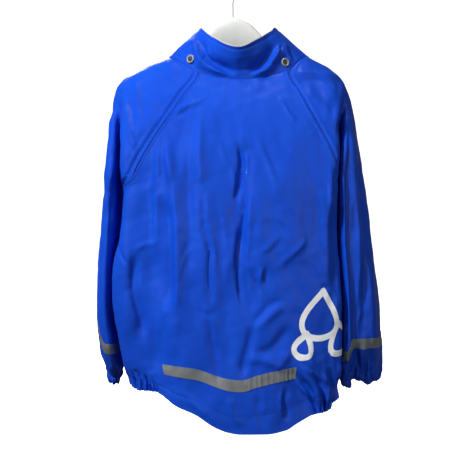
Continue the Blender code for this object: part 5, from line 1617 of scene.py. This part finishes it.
# ---------------------------------------------------------------- settings
class RaincoatSettings(bpy.types.PropertyGroup):
    cloth_thickness: bpy.props.FloatProperty(
        name="Cloth thickness", description="Coated cloth with its knit backing",
        default=0.0009, unit="LENGTH",
    )
    crease_depth: bpy.props.FloatProperty(
        name="Crease depth", description="Share of the depth of the hand-placed creases",
        default=2.3, min=0.0, max=3.0,
    )
    gather_depth: bpy.props.FloatProperty(
        name="Gather depth", description="Share of the depth of the elastic's gathers",
        default=1.35, min=0.0, max=2.0,
    )
    unevenness: bpy.props.FloatProperty(
        name="Unevenness", description="Height in millimetres of the soft waves in the cloth",
        default=0.75, min=0.0,
    )
    cloth_colour: bpy.props.StringProperty(
        name="Cloth colour", description="sRGB hex colour of the coated cloth", default="0F4ACA"
    )
    cloth_shade: bpy.props.StringProperty(
        name="Cloth shade", description="sRGB hex colour of its darker mottling", default="0C42BE"
    )
    tape_colour: bpy.props.StringProperty(
        name="Tape colour", description="sRGB hex colour of the reflective tape", default="92979C"
    )
    tape_shade: bpy.props.StringProperty(
        name="Tape shade", description="sRGB hex colour of the tape where it is worn", default="7E8388"
    )
    stitch_radius: bpy.props.FloatProperty(
        name="Thread radius", description="Half the thickness of the sewing thread",
        default=0.00027, unit="LENGTH",
    )
    print_width: bpy.props.FloatProperty(
        name="Print stroke", description="Width of the printed outlines", default=0.008, unit="LENGTH"
    )
    key_power: bpy.props.FloatProperty(
        name="Key light", description="Power of the key softbox in watts", default=50.0, min=0.0
    )
    fill_power: bpy.props.FloatProperty(
        name="Fill light", description="Power of the fill softbox in watts", default=6.0, min=0.0
    )
    sheen_power: bpy.props.FloatProperty(
        name="Sheen lights", description="Power in watts of each light that only glances off the film",
        default=5.0, min=0.0,
    )


# ---------------------------------------------------------------- pieces
class RaincoatPiece:
    bl_options = {"REGISTER", "UNDO"}

    def execute(self, context):
        self.build(context.scene.raincoat)
        return {"FINISHED"}


class RAINCOAT_OT_body(RaincoatPiece, bpy.types.Operator):
    """Add the back and the two fronts, with their folds and the gathers of the hem"""

    bl_idname = "raincoat.body"
    bl_label = "Back and fronts"

    def build(self, settings):
        for name in ("back", "front_left", "front_right"):
            obj = own(sewn(name, panel_of(name), turned_in=TURNED_IN), "cloth", name)
            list(CUTS[name.split("_")[0]])


class RAINCOAT_OT_sleeves(RaincoatPiece, bpy.types.Operator):
    """Add the raglan sleeves with their felled seams and elastic cuffs"""

    bl_idname = "raincoat.sleeves"
    bl_label = "Sleeves"

    def build(self, settings):
        for word in SIDE_NAMES.values():
            name = f"sleeve_{word}"
            obj = own(sewn(name, panel_of(name), turned_in=TURNED_IN), "cloth", name)


class RAINCOAT_OT_collar(RaincoatPiece, bpy.types.Operator):
    """Add the stand collar and the jersey edge inside its top"""

    bl_idname = "raincoat.collar"
    bl_label = "Collar"

    def build(self, settings):
        panel = collar_panel()
        obj = own(sewn("collar", panel, COLLAR_WALL), "cloth", "collar")
        line, out = panel.at(panel.shares, np.zeros(len(panel.shares)))
        centres = line - out * 1.5 + np.array([0, 0, 0.35])
        profile = circle(10, 1.0) * (1.0, 0.95)
        own(swept("collar_binding", centres, (0, 0, 1.0), profile, finish_of(knit_binding)), "cloth")


def seat_of(panel, node):
    """The row and column of the panel's point nearest to the middle of a node of the frame."""
    low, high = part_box(node)
    middle = (np.array(low) + np.array(high)) / 2 / MM
    gap = np.linalg.norm(panel.points - middle, axis=-1)
    return np.unravel_index(np.argmin(gap), gap.shape)


class RAINCOAT_OT_flap(RaincoatPiece, bpy.types.Operator):
    """Add the storm flap with its stitching and snaps"""

    bl_idname = "raincoat.flap"
    bl_label = "Storm flap"

    def build(self, settings):
        panel = flap_panel()
        obj = own(sewn("flap", panel), "cloth", "storm_flap")
        lines, rows = [], np.linspace(panel.rows[0] + 4, panel.rows[-1] - 5, 260)
        for across in (-FLAP_WIDTH / 2 + FLAP_STITCH, FLAP_WIDTH / 2 - FLAP_STITCH):
            lines.append(panel.at(np.full(260, across), rows))
        stitches("stitching_flap", lines)
        for number in range(1, 8):
            node = f"flap_snap_{number}"
            r, c = seat_of(panel, node)
            point, out = panel.points[r, c], panel.normal[r, c]
            nickel = finish_of(metal, *NICKEL)
            snap = turned(f"snap_cap_{number}", point + out * SNAP_SEAT, out, SNAP_CAP, nickel)
            own(snap, "snap", node)


class RAINCOAT_OT_strips(RaincoatPiece, bpy.types.Operator):
    """Add the reflective strips on the back and round the sleeves"""

    bl_idname = "raincoat.strips"
    bl_label = "Reflective strips"

    def build(self, settings):
        tape = finish_of(reflective_tape)
        ends = [coat().back.share(sum(STRIP_LEVELS) / 2, end - CENTRE_X) for end in STRIP_ENDS]
        panel = strip_panel(panel_of("back"), np.linspace(*ends, 170), np.linspace(*STRIP_LEVELS, 12))
        x = panel.points[..., 0]
        for at, height in TAPE_CREASES:
            panel.raise_by(height * np.exp(-(((x - at) / 1.3) ** 2)))
        obj = own(shell("tape_back", panel, TAPE_WALL, tape, tape), "strip", "back_strip")
        for side, word in SIDE_NAMES.items():
            on = panel_of(f"sleeve_{word}")
            panel = strip_panel(on, on.shares, np.linspace(*ARM_STRIP[side], 10))
            tape_piece = shell(f"tape_sleeve_{word}", panel, TAPE_WALL, tape, tape)
            obj = own(tape_piece, "strip", f"sleeve_strip_{word}")


class RAINCOAT_OT_stitching(RaincoatPiece, bpy.types.Operator):
    """Add the topstitching of seams, hem, cuffs and collar"""

    bl_idname = "raincoat.stitching"
    bl_label = "Stitching"

    def build(self, settings):
        groups = {}
        for side, word in SIDE_NAMES.items():
            lines = []
            rows = np.linspace(RAGLAN_TOP + 1, UNDERARM[side] - 20, 240)
            for name, face in (("back", BACK), (f"front_{word}", FRONT)):
                wide, square = raglan_slopes(coat().faces[face], rows)
                first = (side == LEFT) == (face == BACK)
                for inset in SEAM_STITCHES:
                    gap = inset / (wide * square[0 if first else 1])
                    lines.append(panel_of(name).at(gap if first else 1 - gap, rows))
            groups[f"stitching_raglan_{word}"] = lines
            turn, row = np.linspace(0.004, 0.996, 600), CUFF_END[side] - CUFF_STITCH
            groups[f"stitching_cuff_{word}"] = [panel_of(f"sleeve_{word}").at(turn, np.full(600, row))]
        groups["stitching_hem"] = hem = []
        for name in ("back", "front_left", "front_right"):
            panel = panel_of(name)
            shares = np.linspace(panel.shares[0] + 0.004, panel.shares[-1] - 0.004, 700)
            hem.append(panel.at(shares, np.full(700, SIDE_END - HEM_STITCH)))
        turns = np.linspace(0.02, 0.98, 600)
        groups["stitching_collar"] = [collar_panel().at(turns, np.full(600, row)) for row in COLLAR_STITCHES]
        for name, lines in groups.items():
            stitches(name, lines)


def raindrop(height, count):
    """The closed outline of a drop with its point up, from a circle whose top is drawn out."""
    turn = np.linspace(0, 2 * math.pi, count, endpoint=False)
    up = -np.cos(turn)
    across = np.sin(turn) * (0.5 - 0.5 * up) ** 0.75
    return np.column_stack([0.62 * height * across, 0.5 * height * up])


class RAINCOAT_OT_print(RaincoatPiece, bpy.types.Operator):
    """Add the printed raindrop outlines on the lower back"""

    bl_idname = "raincoat.print"
    bl_label = "Print"

    def build(self, settings):
        back, cloth = panel_of("back"), coat().back
        points, faces, base = [], [], 0
        across_rim = np.linspace(-0.5, 0.5, 7) * settings.print_width / MM
        for across, row, height, lean in DROPS_PRINTED:
            line = spline(raindrop(height, 40), 4, closed=True)[:-1]
            way = unit(np.roll(line, -1, 0) - np.roll(line, 1, 0))
            out = np.column_stack([way[:, 1], -way[:, 0]])
            flat = line[:, None] + out[:, None] * across_rim[None, :, None]
            cos, sin = math.cos(math.radians(lean)), math.sin(math.radians(lean))
            rows = row + flat[..., 0] * sin - flat[..., 1] * cos
            shares = cloth.share(row, across + flat[..., 0] * cos + flat[..., 1] * sin)
            placed, _ = back.at(shares, rows, PRINT_LIFT)
            grid = base + np.arange(rows.size).reshape(rows.shape)
            faces.append(quads(np.vstack([grid, grid[:1]])))
            points.append(placed.reshape(-1, 3))
            base += rows.size
        film = finish_of(print_film)
        own(make_mesh("print_raindrops", np.vstack(points), np.vstack(faces), [film]), "cloth")


class RAINCOAT_OT_snaps(RaincoatPiece, bpy.types.Operator):
    """Add the two ring sockets that hold a hood on the back of the collar"""

    bl_idname = "raincoat.hood_snaps"
    bl_label = "Hood snaps"

    def build(self, settings):
        panel = collar_panel()
        nickel = finish_of(metal, *NICKEL)
        for word in ("left", "right"):
            node = f"hood_snap_{word}"
            r, c = seat_of(panel, node)
            out = unit(panel.normal[r - 3:r + 4, c - 6:c + 7].mean(axis=(0, 1)))
            seat = panel.points[r, c] + out * SNAP_SEAT
            own(turned(f"snap_socket_{word}", seat, out, SNAP_RING, nickel), "snap", node)
            # The well's near-black colour is painted shade for the socket's hole.
            painted_well_shade = finish_of(metal, *WELL_PAINTED_SHADE)
            own(turned(f"snap_well_{word}", seat, out, SNAP_WELL, painted_well_shade), "snap")
            side = unit(np.cross(out, [0.0, 0.0, 1.0]))
            up = np.cross(side, out)
            bend = np.linspace(-1, 1, 25)
            for number, sign in ((2, -1), (1, 1)):
                # The spring is an S of wire on each side of the well.
                path = seat + out * 0.15 + sign * 1.35 * side + np.outer(2.2 * bend, up)
                path += np.outer(0.5 * np.sin(bend * math.pi), side)
                spring = swept(f"snap_spring_{word}_{number}", path, out, circle(8, SPRING_RADIUS), nickel)
                own(spring, "snap")


class RAINCOAT_OT_hanger(RaincoatPiece, bpy.types.Operator):
    """Add the hanger's moulded body and its hook of bent wire"""

    bl_idname = "raincoat.hanger"
    bl_label = "Hanger"

    def build(self, settings):
        low, high = HANGER_ENDS
        x = [np.linspace(low, -60, 46)[:-1], np.linspace(-60, 60, 97), np.linspace(60, high, 44)[1:]]
        x = np.concatenate(x)
        from_middle = np.abs(x - HANGER_MIDDLE)
        top, tall, depth = (
            np.interp(from_middle, *zip(*sizes)) for sizes in (HANGER_TOP, HANGER_HEIGHT, HANGER_DEPTH)
        )
        down = np.concatenate([np.linspace(0, 1, 29) ** 1.5, np.linspace(1, 0, 29)[1:-1] ** 1.5])
        face = np.concatenate([-np.ones(29), np.ones(27)])
        bulge = face * np.sin(math.pi * down**0.55) ** 0.7
        rings = [x[:, None] + 0 * down, depth[:, None] * bulge, -(top[:, None] + tall[:, None] * down)]
        rings = np.stack(rings, axis=-1)
        plastic, faces = finish_of(moulded_plastic), tube(*rings.shape[:2])
        own(make_mesh("hanger_body", rings.reshape(-1, 3), faces, [plastic]), "plastic", "hanger")
        path = spline(np.array(HOOK_PATH), 10)
        path = np.column_stack([path[:, 0], np.zeros(len(path)), path[:, 1]])
        wire = circle(20, HOOK_RADIUS)
        hook = swept("hook_wire", path, (0.0, -1.0, 0.0), wire, finish_of(metal, *ZINC_PAINTED_PALE))
        own(hook, "wire", "hook")


class RAINCOAT_OT_studio(bpy.types.Operator):
    """Set up the background, the lights and the camera"""

    bl_idname = "raincoat.studio"
    bl_label = "Studio"
    bl_options = {"REGISTER", "UNDO"}

    def execute(self, context):
        settings, scene = context.scene.raincoat, context.scene
        middle = np.array(VIEW_MIDDLE)
        camera = bpy.data.objects.new("camera", bpy.data.cameras.new("camera"))
        camera.data.sensor_width = SENSOR
        camera.data.lens = SENSOR * VIEW_DISTANCE / VIEW_WIDTH
        camera.location = (middle[0], -VIEW_DISTANCE, middle[2])
        camera.rotation_euler = (math.pi / 2, 0, 0)
        scene.collection.objects.link(camera)
        scene.camera = camera
        self.background()
        world = bpy.data.worlds.new("studio")
        world.use_nodes = True
        air = world.node_tree.nodes["Background"].inputs
        air["Color"].default_value = linear("F2F4F7")
        air["Strength"].default_value = WORLD_STRENGTH
        scene.world = world
        scene.view_settings.view_transform = "Standard"
        for name, where, size, power, share, colour in LIGHTS:
            data = bpy.data.lights.new(f"light_{name}", "AREA")
            data.shape, data.size = "SQUARE", size
            data.energy, data.color = share * getattr(settings, power), linear(colour)[:3]
            lamp = bpy.data.objects.new(f"light_{name}", data)
            lamp.location = where
            aim = np.array(where) - middle
            flat = math.hypot(aim[0], aim[1])
            turn = math.atan2(aim[1], aim[0]) + math.pi / 2
            lamp.rotation_euler = (math.atan2(flat, aim[2]), 0, turn)
            # The key and the fill shape the cloth, and the sheen lights only glance off its film.
            lamp.visible_glossy = name not in ("key", "fill")
            lamp.visible_diffuse = not name.startswith("sheen")
            scene.collection.objects.link(lamp)
        return {"FINISHED"}

    def background(self):
        """A round floor whose edge sweeps up all round, far outside every view."""
        sweep = np.linspace(0.2, 1.57, 8)
        rise = [(FLOOR_RADIUS + SWEEP * math.sin(a), FLOOR + SWEEP * (1 - math.cos(a))) for a in sweep]
        profile = [(0.0, FLOOR), (FLOOR_RADIUS, FLOOR), *rise, *BOWL_TOP]
        ring = circle(BOWL_SIDES, 1.0)
        points = [np.insert(max(r, 0.01) * ring, 2, z, axis=1) / MM for r, z in profile]
        faces = tube(len(profile), BOWL_SIDES)[:-1]
        bowl = make_mesh("background", np.vstack(points), faces, [finish_of(studio_paper)])
        bowl.visible_glossy = bowl.visible_diffuse = bowl.visible_shadow = False


class RAINCOAT_PT_panel(bpy.types.Panel):
    """Settings and pieces of the raincoat"""

    bl_idname = "RAINCOAT_PT_panel"
    bl_label = "Raincoat"
    bl_space_type = "VIEW_3D"
    bl_region_type = "UI"
    bl_category = "Raincoat"

    def draw(self, context):
        for name in RaincoatSettings.__annotations__:
            self.layout.prop(context.scene.raincoat, name)
        for operator in OPERATORS:
            self.layout.operator(operator.bl_idname)


OPERATORS = (
    RAINCOAT_OT_body,
    RAINCOAT_OT_sleeves,
    RAINCOAT_OT_collar,
    RAINCOAT_OT_flap,
    RAINCOAT_OT_strips,
    RAINCOAT_OT_stitching,
    RAINCOAT_OT_print,
    RAINCOAT_OT_snaps,
    RAINCOAT_OT_hanger,
    RAINCOAT_OT_studio,
)


def register():
    bpy.utils.register_class(RaincoatSettings)
    bpy.types.Scene.raincoat = bpy.props.PointerProperty(type=RaincoatSettings)
    for made in (*OPERATORS, RAINCOAT_PT_panel):
        bpy.utils.register_class(made)


def unregister():
    for made in (RAINCOAT_PT_panel, *OPERATORS[::-1]):
        bpy.utils.unregister_class(made)
    del bpy.types.Scene.raincoat
    bpy.utils.unregister_class(RaincoatSettings)


def main():
    register()
    for operator in OPERATORS:
        group, name = operator.bl_idname.split(".")
        getattr(getattr(bpy.ops, group), name)()


if __name__ == "__main__":
    main()
